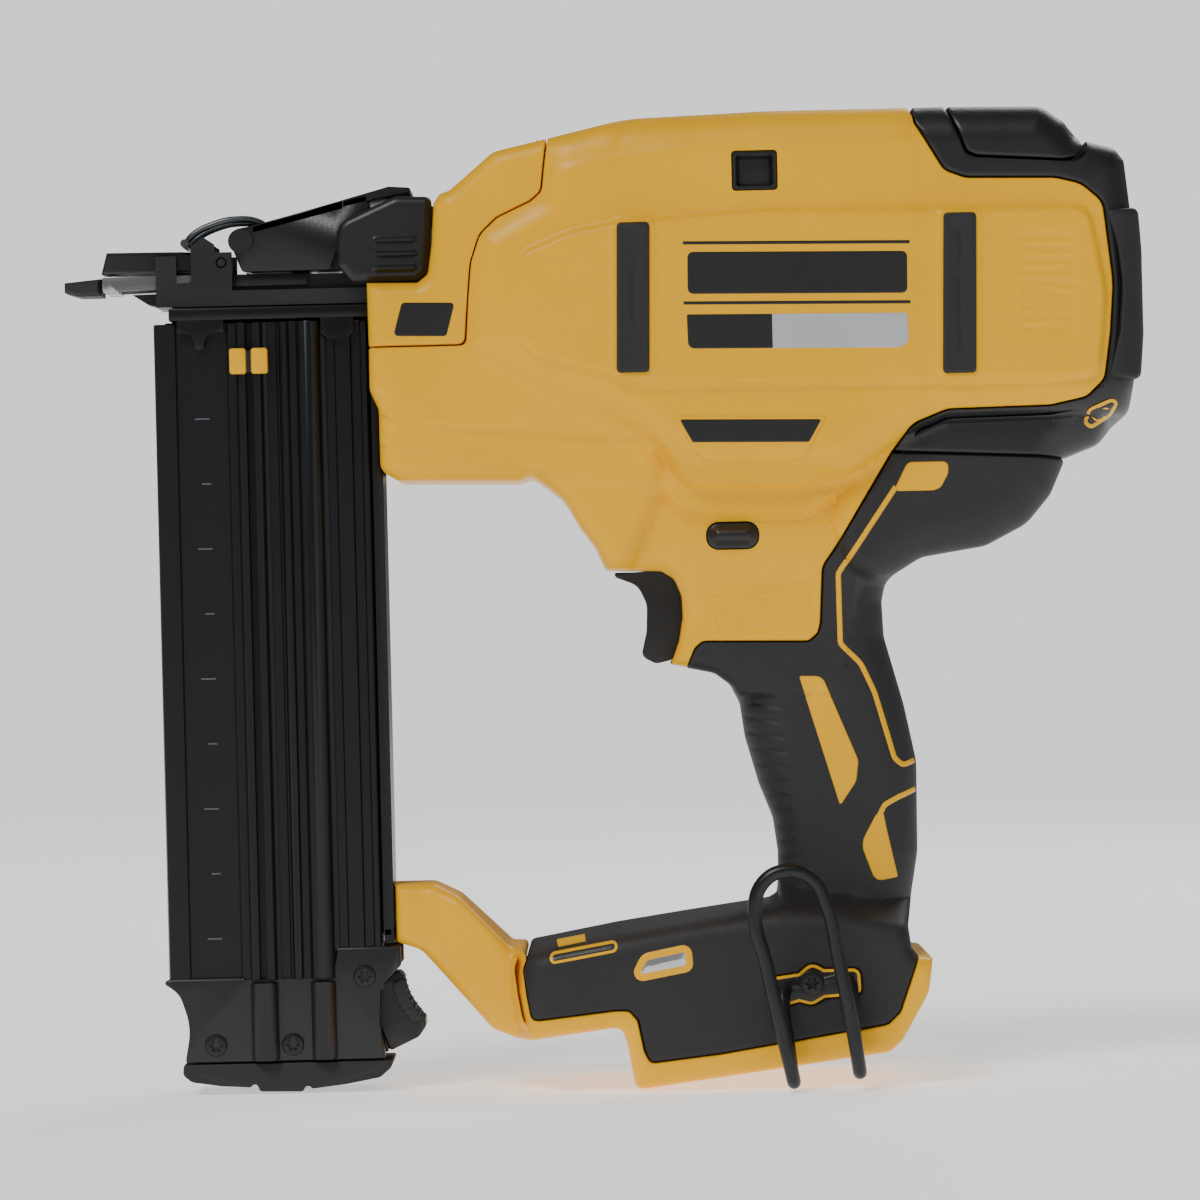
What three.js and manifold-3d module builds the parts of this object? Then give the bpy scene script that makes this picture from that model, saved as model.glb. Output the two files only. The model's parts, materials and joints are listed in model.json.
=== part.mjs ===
// A cordless brad nailer, in millimetres, +Z up. The nose points along -X, and the nail leaves it along
// the drive line. The tool stands on the end of its magazine and on its foot, with the origin below the
// middle of its box.
import * as THREE from "three";
import { mergeVertices } from "three/addons/utils/BufferGeometryUtils.js";
import Module from "manifold-3d";

const wasm = await Module();
wasm.setup();

// ---- Driving dimensions ----------------------------------------------------------------------
const GAP = 0.4; // clearance between neighbouring pieces
const MIDDLE_Y = 8.8; // the joint plane of the two housing halves, moved over so that the box is centred
const WALL = 3.2; // moulded wall
const BARREL_W = 37; // half widths of the housing's regions
const FRONT_W = 29;
const NECK_W = 22;
const HANDLE_W = 17.5;
const HANDLE_CORE_W = 14;
const POD_W = 26;
const FOOT_W = 37.5;
const FOOT_CORE_W = 33;
const FOOT_RUBBER_W = 36;
const ARM_W = 13;
const FOOT_TILT = Math.atan2(9, 71.1); // the foot's underside rises 9 over this length towards the rear
const FOOT_TOP_TILT = THREE.MathUtils.degToRad(9.6); // its top rises a little more
const DRIVE_Z = 232.3; // the drive line
const BLADE = 2.6; // height of the driver's blade
const FLYWHEEL = { x: 39, z: 201, r: 28 };
const MAGAZINE = { front: -128.3, rear: -66.3, top: 220.5, bottom: 34, halfWidth: 12.5 };
const NOSE = { tip: -153.9, plateTop: 229.6, plateBottom: 225.2 };
const TRIGGER_HALF = 7.6; // half the trigger's width
const LATCH_PIN = { x: -102.6, z: 243.5, r: 1.7 };
const DOOR_PIN = { x: -108.4, z: 237.6, r: 1.2 };
const BAIL_PIVOT = { x: -93.4, z: 246.1 };
const TRIGGER_PIN = { x: 19, z: 149.6, r: 1.5 };
const STALL_PIN = { x: 134, z: 263.4, r: 1.4 };
const MAGAZINE_LATCH_PIN = { x: -64, z: 30.5, r: 1.2 };
const ARM_PIN = { x: 62, z: 253, r: 2 };
const DEPTH_SCREW = { y: 23.6, z: 238.5, r: 1.5 };
const HOOK_WIRE = 4; // belt hook wire across
const HOOK_REACH = 54; // from the middle plane to the wire's centre line

// ---- Outlines and solids ---------------------------------------------------------------------
// Outlines lie in the X-Z plane as lists of corners [x, z, radius], each corner rounded to its radius.
function rounded(corners) {
  const points = [];
  const n = corners.length;
  corners.forEach(([x, z, r = 0], i) => {
    const corner = new THREE.Vector2(x, z);
    const [px, pz] = corners[(i + n - 1) % n];
    const [nx, nz] = corners[(i + 1) % n];
    const back = new THREE.Vector2(px, pz).sub(corner);
    const ahead = new THREE.Vector2(nx, nz).sub(corner);
    if (r <= 0) {
      points.push(corner);
      return;
    }
    const room = Math.min(back.length(), ahead.length()) * 0.48;
    const reach = Math.min(r / Math.tan(back.angleTo(ahead) / 2), room);
    const from = corner.clone().addScaledVector(back.normalize(), reach);
    const to = corner.clone().addScaledVector(ahead.normalize(), reach);
    points.push(...new THREE.QuadraticBezierCurve(from, corner, to).getPoints(r > 8 ? 3 : r > 2.4 ? 2 : 1));
  });
  return points;
}

// The same corners with every edge moved outwards by d, or inwards where d is negative.
function grown(corners, d) {
  const at = corners.map(([x, z]) => new THREE.Vector2(x, z));
  const turn = THREE.ShapeUtils.isClockWise(at) ? -1 : 1;
  return corners.map(([x, z, r = 0], i) => {
    const a = at[i].clone().sub(at[(i + at.length - 1) % at.length]).normalize();
    const b = at[(i + 1) % at.length].clone().sub(at[i]).normalize();
    const move = (turn * d) / (1 + a.dot(b));
    const radius = a.cross(b) * turn > 0 ? r + d : r - d;
    return [x + (a.y + b.y) * move, z - (a.x + b.x) * move, r > 0 && radius > 0.3 ? radius : 0];
  });
}

// The hollow inside an outline, a wall's thickness in, with sharp corners.
const hollow = (corners, wall = WALL) => grown(corners, -wall).map(([x, z]) => [x, z]);

// The opening that an outline sits in with clearance, with sharp corners.
const seat = (corners, gap = GAP) => grown(corners, gap).map(([x, z]) => [x, z]);

// The solid between y0 and y1 over an outline, with its rim rounded over by the bevel on both faces.
function slab(corners, y0, y1, bevel = 0, segments = 1) {
  const geometry = new THREE.ExtrudeGeometry(new THREE.Shape(rounded(grown(corners, -bevel))), {
    depth: y1 - y0 - 2 * bevel,
    bevelEnabled: bevel > 0,
    bevelThickness: bevel,
    bevelSize: bevel,
    bevelSegments: segments,
  });
  geometry.rotateX(Math.PI / 2);
  return geometry.translate(0, y1 - bevel, 0);
}

const across = (points, half, bevel, segments) => slab(points, -half, half, bevel, segments);

function box(x0, x1, y0, y1, z0, z1) {
  const geometry = new THREE.BoxGeometry(x1 - x0, y1 - y0, z1 - z0);
  return geometry.translate((x0 + x1) / 2, (y0 + y1) / 2, (z0 + z1) / 2);
}

function rodY(x, z, r, y0, y1, sides = 20) {
  return new THREE.CylinderGeometry(r, r, y1 - y0, sides).translate(x, (y0 + y1) / 2, z);
}

function rodX(y, z, r, x0, x1, sides = 16) {
  const geometry = new THREE.CylinderGeometry(r, r, x1 - x0, sides).rotateZ(Math.PI / 2);
  return geometry.translate((x0 + x1) / 2, y, z);
}

function rodZ(x, y, r, z0, z1, sides = 12) {
  const geometry = new THREE.CylinderGeometry(r, r, z1 - z0, sides).rotateX(Math.PI / 2);
  return geometry.translate(x, y, (z0 + z1) / 2);
}

// A body turned about an axis along Y, from [radius, y] points that start and end on the axis.
function turnedY(profile, x, z, sides = 24) {
  const points = profile.map(([r, y]) => new THREE.Vector2(r, y));
  return new THREE.LatheGeometry(points, sides).translate(x, 0, z);
}

// A round wire or tube along a curve.
function tube(curve, r, steps, sides = 8) {
  const section = Array.from({ length: sides }, (_, i) => {
    const a = (i / sides) * 2 * Math.PI;
    return new THREE.Vector2(r * Math.cos(a), r * Math.sin(a));
  });
  const options = { steps, extrudePath: curve, bevelEnabled: false };
  return new THREE.ExtrudeGeometry(new THREE.Shape(section), options);
}

function mirrored(geometry) {
  const copy = geometry.index ? geometry.toNonIndexed() : geometry.clone();
  const p = copy.attributes.position.array;
  for (let i = 0; i < p.length; i += 9) {
    const [ax, ay, az, bx, by, bz, cx, cy, cz] = p.slice(i, i + 9);
    p.set([ax, -ay, az, cx, -cy, cz, bx, -by, bz], i);
  }
  return copy;
}

function solid(geometry) {
  const bare = geometry.index ? geometry.toNonIndexed() : geometry.clone();
  bare.deleteAttribute("normal");
  bare.deleteAttribute("uv");
  const merged = mergeVertices(bare, 1e-4);
  return new wasm.Manifold(
    new wasm.Mesh({
      numProp: 3,
      vertProperties: merged.attributes.position.array,
      triVerts: new Uint32Array(merged.index.array),
    }),
  );
}

const union = (...geometries) => geometries.map(solid).reduce((a, b) => a.add(b));
const cut = (body, ...geometries) => geometries.reduce((a, g) => a.subtract(solid(g)), body);

// ---- Materials and the tree of meshes --------------------------------------------------------
function finish(color, roughness, metalness = 0) {
  return new THREE.MeshStandardMaterial({ color, roughness, metalness });
}
const YELLOW = finish(0xf7b516, 0.45);
const RUBBER = finish(0x232324, 0.8);
const BLACK_PLASTIC = finish(0x1b1c1d, 0.55);
const BLACK_METAL = finish(0x202122, 0.5, 0.4);
const STEEL = finish(0x9a9c9e, 0.35, 1);
const DARK_STEEL = finish(0x4a4c4e, 0.4, 1);
const ALUMINIUM = finish(0xa8abae, 0.45, 1);
const COPPER = finish(0xb06a38, 0.4, 1);
const GREEN_BOARD = finish(0x1f5a35, 0.6);
const CLEAR = finish(0xdfe4e6, 0.1);

const nailer = new THREE.Group();
nailer.position.y = MIDDLE_Y;

function add(name, body, material) {
  let geometry = body;
  if (!body.isBufferGeometry) {
    const mesh = body.getMesh();
    geometry = new THREE.BufferGeometry();
    geometry.setAttribute("position", new THREE.BufferAttribute(new Float32Array(mesh.vertProperties), 3));
    geometry.setIndex(new THREE.BufferAttribute(mesh.triVerts, 1));
    geometry.computeVertexNormals();
  }
  const mesh = new THREE.Mesh(geometry, material);
  mesh.name = name;
  nailer.add(mesh);
}

// ---- Outlines shared by the housing, the rubber and the caps ---------------------------------
const BARREL = [
  [-36, 200], [-37.9, 213], [-37, 232, 6], [-33.5, 243.5, 5], [-17, 252, 3], [-14, 269.7], [9.5, 275, 30],
  [46, 276.2, 40], [88.5, 275.9], [97, 257, 4], [129, 254.6, 14], [143, 247, 8], [144.4, 222, 30],
  [142, 196, 8], [128, 190.6, 12], [95, 190.4, 8], [84, 183], [70, 168, 20], [20, 168, 20], [5, 190, 20],
];
const FRONT = [
  [-66.4, 211.5], [-66.3, 199, 4], [-63.9, 194, 3], [-63.9, 174, 5], [-24, 172.8, 3], [-20, 174, 3],
  [-8, 160, 6],
  [-0.5, 147.1], [18, 150], [20, 200], [-20, 232], [-38, 232], [-38, 211.5],
];
const NECK = [
  [-14, 168], [-8, 160, 6], [-0.5, 147.1], [15.4, 146.4, 3], [21.4, 140, 5], [21, 129, 5], [17.6, 119.7],
  [21.9, 118.8], [25, 125.8, 3], [59.6, 125.8, 4], [60.4, 146, 8], [81, 178.7], [84, 186], [20, 195],
  [-10, 190],
];
const NECK_HOLLOW = [
  [-6, 171], [1, 151], [25, 149], [26, 130], [57, 130], [58, 148], [77, 180], [77, 190], [-6, 190],
];
const FRONT_COVER = [
  [-66.4, 230], [-66.2, 211.8], [-38.2, 211.8, 2], [-37, 232, 6], [-33.5, 243.5, 5], [-17, 252, 3],
  [-14, 269.7],
  [-29.6, 266.4, 6], [-43, 255.6, 2], [-46.6, 254.6], [-48.3, 232, 3], [-52, 229.9],
];
const REAR_CAP = [
  [88.6, 275.9, 2], [126, 275.6, 6], [135, 266.6, 4], [147, 263, 4], [150, 256, 4], [150.8, 246],
  [150.6, 197],
  [149, 187, 5], [140.5, 179, 6], [131.4, 175.7], [122, 176.8], [84, 177.6], [84, 200], [88, 250],
];
const STALL_LEVER = [
  [98.8, 275.9], [102, 268], [104.4, 261.6, 1.5], [131, 260, 2], [135.6, 260.6, 2], [137.2, 264, 2],
  [133, 270.6, 3], [126, 275.5, 5],
];
const REAR_PAD = [
  [147.9, 245.4, 1], [152.6, 245.8, 2], [153.9, 232, 20], [153.9, 212, 20], [152.2, 197.2, 2],
  [147.9, 197.6, 1],
];
const GRIP_LIP = [[22.2, 118.6], [36, 117], [60, 117], [60.1, 126, 3], [25.4, 126, 3]];
const GRIP = [
  [33, 116], [36.4, 111, 5], [38.4, 96, 12], [46.6, 74, 14], [47.4, 58, 6], [47.2, 48], [83, 40],
  [83.4, 50, 3],
  [87, 62, 20], [87.4, 88, 30], [79.2, 118, 20], [79, 138, 8], [84, 146.4, 8], [98, 150.6, 12],
  [114, 152.6, 12],
  [126, 163, 14], [131.3, 175.2], [82, 178], [61, 146.6, 8], [60.1, 125.8], [33, 125.8],
];
const HANDLE_CORE = [
  [26, 128], [33, 121, 4], [40, 112, 5], [42, 96, 12], [50, 74, 14], [50.8, 58, 6], [51, 36], [80, 36],
  [84, 58, 20], [84.2, 88, 30], [76, 117, 20], [75.8, 138, 8], [66, 150], [30, 150],
];
const HANDLE_HOLLOW = [
  [36, 135], [44, 112, 6], [46, 97, 10], [54, 74, 10], [55, 40], [78, 40], [80.4, 60, 20], [80.4, 86, 30],
  [72.4, 115, 20], [72, 135],
];
const FOOT = [
  [5.4, 0, 1], [76.5, 9, 6], [87.8, 25.5, 8], [89.2, 35.4], [85, 38], [60, 43], [45, 48], [-21, 39],
  [-27, 38.6], [-25, 15], [-1.4, 17.7, 3], [1.6, 15, 2],
];
const FOOT_RUBBER = [
  [-24.8, 40.2, 2], [-26, 30, 4], [-24.3, 20.2, 2], [1, 23.2, 3], [5.6, 20.4, 3], [8.4, 7.8, 2],
  [77, 17.4, 5],
  [82.4, 27, 6], [84.9, 36.2], [83, 42], [83, 46], [47.4, 51], [19.5, 47.3],
];
const FOOT_CORE = [
  [-26, 36], [-26, 16], [0, 18], [8, 2], [78, 10], [88, 26], [86, 35], [80, 42], [48, 47.6], [19, 44.4],
];
const ARM = [
  [-63.3, 42.2, 2], [-55, 40, 6], [-36, 17, 6], [-28, 14, 5], [-2, 17.4], [-20, 40], [-26.6, 38.8, 3],
  [-45, 57, 8], [-52, 58.7, 4], [-63.3, 58.7],
];

// The hollows in the foot and the arm, and the space over the foot that the rubber fills.
const FOOT_HOLLOW = [[-22, 34], [-22, 22], [8, 24], [20, 21], [76, 28.5], [78, 36], [46, 42], [10, 39]];
const ARM_HOLLOW = [[-58, 53], [-58, 46], [-50, 42], [-33, 20], [-18, 20], [-18, 36], [-30, 36], [-46, 53]];
const ABOVE_FOOT = [[-30, 35.2], [19, 44.4], [48, 47.6], [80, 42], [86, 35], [110, 35], [110, 90], [-30, 90]];

// ---- Housing ---------------------------------------------------------------------------------
const FRAME = { neck: -58, x0: -46, x1: 121, y: 17, wall: 3, z1: 246 };
const ROD_Y = 9.5; // the guide rods lie this far from the middle plane
const FRAME_SIDE = [
  [FRAME.x0, 222], [FRAME.x0, FRAME.z1], [52, FRAME.z1], [54, 257, 4], [68, 257, 4], [70, FRAME.z1],
  [FRAME.x1, FRAME.z1], [FRAME.x1, 222], [74, 222], [62, 192, 4], [16, 192, 4], [4, 222],
];
const WINDOW = [[37.4, 252.6], [50.8, 252.6], [50.8, 264.4], [37.4, 264.4]];
const LOCK_OFF = [[28.4, 152.1, 3.4], [43.2, 152.1, 3.4], [43.2, 159.7, 3.4], [28.4, 159.7, 3.4]];
const LENS = [[4.4, 31.6, 1.5], [20.3, 34, 1.5], [20, 39.8, 1.5], [8.6, 38, 3]];
const HOOK_SCREW = { x: 54.6, z: 29.4 };
const HOOK_SLOT = [
  [43.6, 22.2, 2], [51, 24], [54.6, 23.4, 3], [58, 25], [68.6, 25.6, 2], [68.2, 33, 2], [58, 33],
  [54.6, 34.4, 3],
  [51, 32], [43.2, 31, 2],
];
const MODE_SLOT = { x0: -18, x1: 0.7, y0: -31, y1: -24 };

// The foot's underside line, and the same line moved up into the foot by a height.
const footLine = (x, height) => height / Math.cos(FOOT_TILT) + (x - 5.4) * Math.tan(FOOT_TILT);
const BAY = { start: 14, end: 95, depth: 15, halfWidth: 27 };

function batteryBay() {
  const corners = [
    [BAY.start, -5], [BAY.end, -5],
    [BAY.end, footLine(BAY.end, BAY.depth)], [BAY.start, footLine(BAY.start, BAY.depth)],
  ];
  return across(corners, BAY.halfWidth);
}

// The slot in the housing and the grip that the trigger swings in.
const triggerSlot = () => box(-4, 33, -TRIGGER_HALF - 1, TRIGGER_HALF + 1, 116, 155);

const tilted = (geometry, x, z) => geometry.rotateY(-FOOT_TILT).translate(x, 0, z);

function housingShell() {
  const foot = cut(
    union(across(FOOT, FOOT_W, 2)),
    slab(grown(FOOT_RUBBER, GAP), -FOOT_W - 5, -FOOT_CORE_W),
    slab(grown(FOOT_RUBBER, GAP), FOOT_CORE_W, FOOT_W + 5),
    across(ABOVE_FOOT, FOOT_W + 5),
  );
  const outside = union(
    across(BARREL, BARREL_W, 7, 2),
    across(FRONT, FRONT_W, 5),
    across(NECK, NECK_W, 1.5),
    across(HANDLE_CORE, HANDLE_CORE_W, 4),
    across(ARM, ARM_W, 3),
  ).add(foot);
  return cut(
    outside,
    batteryBay(),
    across(hollow(BARREL), BARREL_W - WALL, 4),
    across(hollow(FRONT), FRONT_W - WALL),
    across(NECK_HOLLOW, NECK_W - WALL),
    across(HANDLE_HOLLOW, HANDLE_CORE_W - WALL),
    across(FOOT_HOLLOW, FOOT_CORE_W - WALL),
    across(ARM_HOLLOW, ARM_W - WALL),
    across(grown(FRONT_COVER, 1.5 * GAP), BARREL_W + 5),
    across(grown(FRAME_SIDE, 1.5 * GAP), FRAME.y + GAP),
    box(-85, -62.9, -14.3, 14.3, 165, 240), // the magazine's rear edge stands in this notch
    triggerSlot(),
    rodY(TRIGGER_PIN.x, TRIGGER_PIN.z, TRIGGER_PIN.r + GAP, -12.5, 12.5, 16),
    across(seat(STALL_LEVER, 1), 31),
    across(WINDOW, BARREL_W + 5),
    across(LOCK_OFF, NECK_W + 5),
    rodY(HOOK_SCREW.x, HOOK_SCREW.z, 2, -FOOT_W, FOOT_W, 16),
    across(seat(LENS), FOOT_W + 5),
  );
}

const shell = housingShell();
const leftHalf = box(-200, 200, -80, -GAP / 2, -20, 320);
const rightHalf = mirrored(leftHalf);
// Screw bosses as [x, z, half width of the housing there].
const BOSSES = [
  [-48, 182, FRONT_W], [-6, 184, FRONT_W], [64, 263, BARREL_W], [122, 204, BARREL_W],
  [70, 136, HANDLE_CORE_W],
  [58, 60, HANDLE_CORE_W],
];

const STRIPS = [
  [[4, 202.3, 1], [13, 202.3, 1], [14, 244.5, 1], [5, 244.5, 1]],
  [[95.8, 200, 1], [105, 200, 1], [106, 245, 1], [97, 245, 1]],
];
const STRIP_SEAT = 2; // depth of the seats that the bumper strips sit in
const leftSeats = STRIPS.map((strip) => slab(seat(strip), -BARREL_W - 1, STRIP_SEAT - BARREL_W));

const batteryRail = tilted(box(-28, 28, -27.5, -23, -1.6, 1.6), 52, footLine(52, 4));
let left = shell.intersect(solid(leftHalf)).add(solid(batteryRail));
let right = shell.intersect(solid(rightHalf)).add(solid(mirrored(batteryRail)));
BOSSES.forEach(([x, z, half]) => {
  const post = rodY(x, z, 3.6, 1.5 - half, -GAP / 2, 10);
  left = cut(left.add(solid(post)), rodY(x, z, 1.5, 8 - half, 5, 6));
  const shankHole = rodY(x, z, 1.8, -5, 80, 6);
  const headHole = rodY(x, z, 3.7, half - 2, 80, 10);
  right = cut(right.add(solid(mirrored(post))), shankHole, headHole);
});
left = cut(left, ...leftSeats);
right = cut(right, ...leftSeats.map(mirrored));
add("housing_left", left, YELLOW);
add("housing_right", right, YELLOW);

function frontCover() {
  return cut(
    union(across(FRONT_COVER, FRONT_W, 4)),
    across(hollow(FRONT_COVER), FRONT_W - WALL),
    box(-80, -38, -16, 16, 205, 233),
    box(-80, -42, -20.6, 20.6, 222, 270),
    box(-60, -24, -18, 18, 205, 246.6),
  );
}
add("front_cover", frontCover(), YELLOW);

// ---- Rear cap, bumpers and stall release -----------------------------------------------------
function rearCap() {
  return cut(
    union(across(REAR_CAP, BARREL_W, 7)),
    across(grown(BARREL, 2 * GAP), BARREL_W + 5),
    across(grown(NECK, GAP), BARREL_W + 5),
    across(seat(STALL_LEVER, 0.6), 30.6),
    rodY(STALL_PIN.x, STALL_PIN.z, 4.4, -30.6, 30.6, 20),
    rodY(STALL_PIN.x, STALL_PIN.z, STALL_PIN.r + GAP, -33.6, 33.6, 12),
    across(seat(REAR_PAD), BARREL_W + 5),
    box(60, 128, -29, 29, 150, 186),
  );
}
add("rear_cap", rearCap(), BLACK_PLASTIC);
add("rear_pad", across(REAR_PAD, 31, 1.5, 1), RUBBER);
const stallTrunnion = rodY(STALL_PIN.x, STALL_PIN.z, STALL_PIN.r, -33, 33, 16);
add("stall_release_lever", union(across(STALL_LEVER, 30, 2), stallTrunnion), BLACK_PLASTIC);
STRIPS.forEach((strip, i) => {
  const place = ["front", "rear"][i];
  const pad = slab(strip, -BARREL_W - 1.4, -BARREL_W + 1.7, 0.6, 1);
  add(`bumper_strip_${place}_left`, pad, RUBBER);
  add(`bumper_strip_${place}_right`, mirrored(pad), RUBBER);
});
const windowInsert = slab(grown(WINDOW, -GAP), -BARREL_W + 1.5, -BARREL_W + 4);
add("window_insert_left", windowInsert, BLACK_PLASTIC);
add("window_insert_right", mirrored(windowInsert), BLACK_PLASTIC);

// ---- Rubber grip over the handle, the rear pod and the foot ----------------------------------
function gripShell() {
  const pod = [
    [62, 146], [79, 140], [84, 146.4, 8], [98, 150.6, 12], [114, 152.6, 12], [126, 163, 14], [131.3, 175.2],
    [86, 177], [82, 179],
  ];
  return cut(
    union(
      across(GRIP_LIP, HANDLE_W, 2, 1),
      across(GRIP, HANDLE_W, 6),
      across(pod, POD_W, 6),
      across(FOOT_RUBBER, FOOT_RUBBER_W, 4),
    ),
    triggerSlot(),
    across(grown(HANDLE_CORE, GAP), HANDLE_CORE_W + GAP),
    across([[64, 150], [90, 154], [120, 160], [126, 173], [86, 174]], POD_W - 4),
    across(grown(NECK, GAP), NECK_W + GAP),
    across(grown(FOOT_CORE, GAP), FOOT_CORE_W + GAP),
    across(grown(ARM, GAP), ARM_W + GAP),
    slab(HOOK_SLOT, -60, -FOOT_CORE_W),
    slab(HOOK_SLOT, FOOT_CORE_W, 60),
    rodY(HOOK_SCREW.x, HOOK_SCREW.z, 2, -60, 60, 16),
    across(seat(LENS), FOOT_W + 5),
    box(MODE_SLOT.x0, MODE_SLOT.x1, MODE_SLOT.y0, MODE_SLOT.y1, 36, 60),
  );
}
const grip = gripShell();
add("grip_left", grip.intersect(solid(leftHalf)), RUBBER);
add("grip_right", grip.intersect(solid(rightHalf)), RUBBER);

// ---- Trigger, lock-off and switch ------------------------------------------------------------
const TRIGGER = [
  [1.8, 146.2, 1], [2.6, 144.6, 1], [8.6, 142.6, 3], [11, 137, 4], [11, 131, 4], [9.4, 122, 2],
  [13.5, 120, 2],
  [19, 121, 2], [26, 128, 3], [27, 142, 2], [23, 149.6, 3], [19.5, 153, 2.5], [15.4, 150, 1], [15, 146.2],
];
const triggerTrunnion = rodY(TRIGGER_PIN.x, TRIGGER_PIN.z, TRIGGER_PIN.r, -12, 12, 16);
add("trigger", union(across(TRIGGER, TRIGGER_HALF, 0.6, 1), triggerTrunnion), BLACK_PLASTIC);
const switchBody = box(39, 56, -8, 8, 130.8, 146);
const switchPlunger = box(35.4, 39.5, -2, 2, 133, 137);
add("trigger_switch", union(switchBody, switchPlunger), BLACK_PLASTIC);
add("lock_off_button", across(grown(LOCK_OFF, -GAP), NECK_W + 2.4, 1, 1), BLACK_PLASTIC);

// ---- Foot: lamp lenses, selector, battery contacts, controller -------------------------------
const lens = slab(LENS, -FOOT_RUBBER_W + 0.2, -FOOT_CORE_W + 2, 0.6, 1);
add("lamp_lens_left", lens, CLEAR);
add("lamp_lens_right", mirrored(lens), CLEAR);
const selector = box(-4, 4, MODE_SLOT.y0 + GAP, MODE_SLOT.y1 - GAP, -1.8, 2);
add("mode_selector", selector.rotateY(-FOOT_TOP_TILT).translate(-12.6, 0, 41.3), YELLOW);

const bayCeiling = (x) => footLine(x, BAY.depth);
const contact = (geometry) => tilted(geometry, 29, bayCeiling(29) - GAP);
const CONTACTS = [-12, -6, 0, 6, 12];
const block = cut(
  union(contact(box(-13, 13, -18, 18, -8, 0))),
  ...CONTACTS.map((y) => contact(box(-9, 20, y - 0.9, y + 0.9, -6.5, -2))),
  contact(box(-9, -6, -14, 14, -6.5, -2)),
);
add("battery_terminal_block", block, BLACK_PLASTIC);
const blades = CONTACTS.map((y) => contact(box(-8, 18, y - 0.5, y + 0.5, -6, -2.6)));
add("battery_terminal_blades", union(contact(box(-8.4, -7, -12.5, 12.5, -6, -2.6)), ...blades), COPPER);
add("controller_board", tilted(box(-26, 26, -24, 24, -1, 1), 42, 33), GREEN_BOARD);

// ---- Belt hook -------------------------------------------------------------------------------
function beltHook() {
  const root = -FOOT_CORE_W - 2.5;
  const path = [
    [51, root, 28.9], [47.6, root - 0.5, 28], [46.4, root - 3.5, 24.5], [47.4, -43, 12], [48.2, -45.6, 4.5],
    [48.5, -48.6, 2.3], [48, -51.2, 5], [45.4, -HOOK_REACH + 0.5, 17], [41.4, -HOOK_REACH, 36],
    [38.4, -HOOK_REACH, 51], [40.6, -HOOK_REACH, 58.4], [48, -HOOK_REACH, 62], [55.6, -HOOK_REACH, 59.5],
    [59, -HOOK_REACH, 52], [61.6, -HOOK_REACH, 38], [64.8, -HOOK_REACH + 0.5, 19], [66.6, -51.2, 7.4],
    [67, -48.6, 4.6], [66.8, -45.6, 7], [66, -42, 15], [65.6, root - 3.5, 27], [64, root - 0.5, 30.4],
    [58.2, root, 29.9],
  ].map((p) => new THREE.Vector3(...p));
  return tube(new THREE.CatmullRomCurve3(path, false, "centripetal"), HOOK_WIRE / 2, 64);
}
add("belt_hook", beltHook(), BLACK_METAL);

function screw(x, z, face, head = 3.3, length = 12, shank = 1.3) {
  const sideways = Math.sign(face);
  const headAt = [face, face - sideways * 1.8].sort((a, b) => a - b);
  const shankAt = [face - sideways * 1.8, face - sideways * length].sort((a, b) => a - b);
  const socket = [face + sideways, face - sideways * 1.1].sort((a, b) => a - b);
  return cut(
    union(rodY(x, z, head, ...headAt, 16), rodY(x, z, shank, shankAt[0] - 0.05, shankAt[1] + 0.05, 8)),
    rodY(x, z, 1.3, ...socket, 6),
  );
}
add("belt_hook_screw", screw(HOOK_SCREW.x, HOOK_SCREW.z, -FOOT_RUBBER_W - 3.4, 3.4, 10, 1.6), DARK_STEEL);

// ---- Magazine --------------------------------------------------------------------------------
const CAP_SCREWS = [[-115.2, 13.8], [-93.2, 13.6], [-72.3, 32.6]]; // [x, z] of the end cap's screws
const MAGAZINE_LATCH = [
  [-66.6, 33, 1.5], [-61.6, 32.8, 1.5], [-58.2, 24, 4], [-55, 17.2, 2], [-59.4, 12, 2], [-66.4, 10.6],
  [-68, 20, 4],
];
const RIDGES = [[-104.6, -97.3], [-87.3, -80.8]]; // the two half-round ribs on the cover

function magazineRail() {
  const { top, halfWidth: w } = MAGAZINE;
  return cut(
    union(
      box(-126, -66.6, 0.9, w, 44, top + 1),
      box(-66.8, -63.9, -w, w, 44, top + 1),
      box(-123.7, -63.9, -w + 0.4, w, top + 0.6, top + 4.2),
      box(-74, -66.6, w - 4, w, 40, 46),
    ),
    box(-121, -72, 3.4, w - 2.4, 40, top - 6),
    box(-125, -71, -0.9, 0.95, top - 10, top + 10),
  );
}
add("magazine_rail", magazineRail(), BLACK_METAL);

function magazineCover() {
  const { front, rear, top, bottom, halfWidth: w } = MAGAZINE;
  const rib = ([x0, x1]) => rodZ((x0 + x1) / 2, -w + 0.6, (x1 - x0) / 2, bottom - 2, top - 4);
  return cut(
    union(
      box(front + 2, rear - 0.6, -w, -0.9, bottom, top),
      box(front, front + 2.01, -w + 1, w - 1, bottom, top),
      ...RIDGES.map(rib),
      box(-92.6, -89.6, -w - 1.2, -w + 0.1, bottom, top - 4),
    ),
    box(-126.1, -67, -0.92, 20, bottom - 5, top + 5),
    box(-124, -106, -w + 2.4, -3.2, bottom + 8, top + 5),
    box(-96, -70, -w + 2.4, -3.2, bottom + 8, top + 5),
    box(-101.9, -100, -20, 5, 60, 216),
    box(-121.6, -107.2, -20, -w + 0.8, bottom + 3, top - 8),
    box(-81, -60, -20, -w + 3.9, 30, 41.5),
    rodY(...CAP_SCREWS[2], 3.7, -20, 0, 12),
  );
}

add("magazine_cover", magazineCover(), BLACK_METAL);

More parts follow.
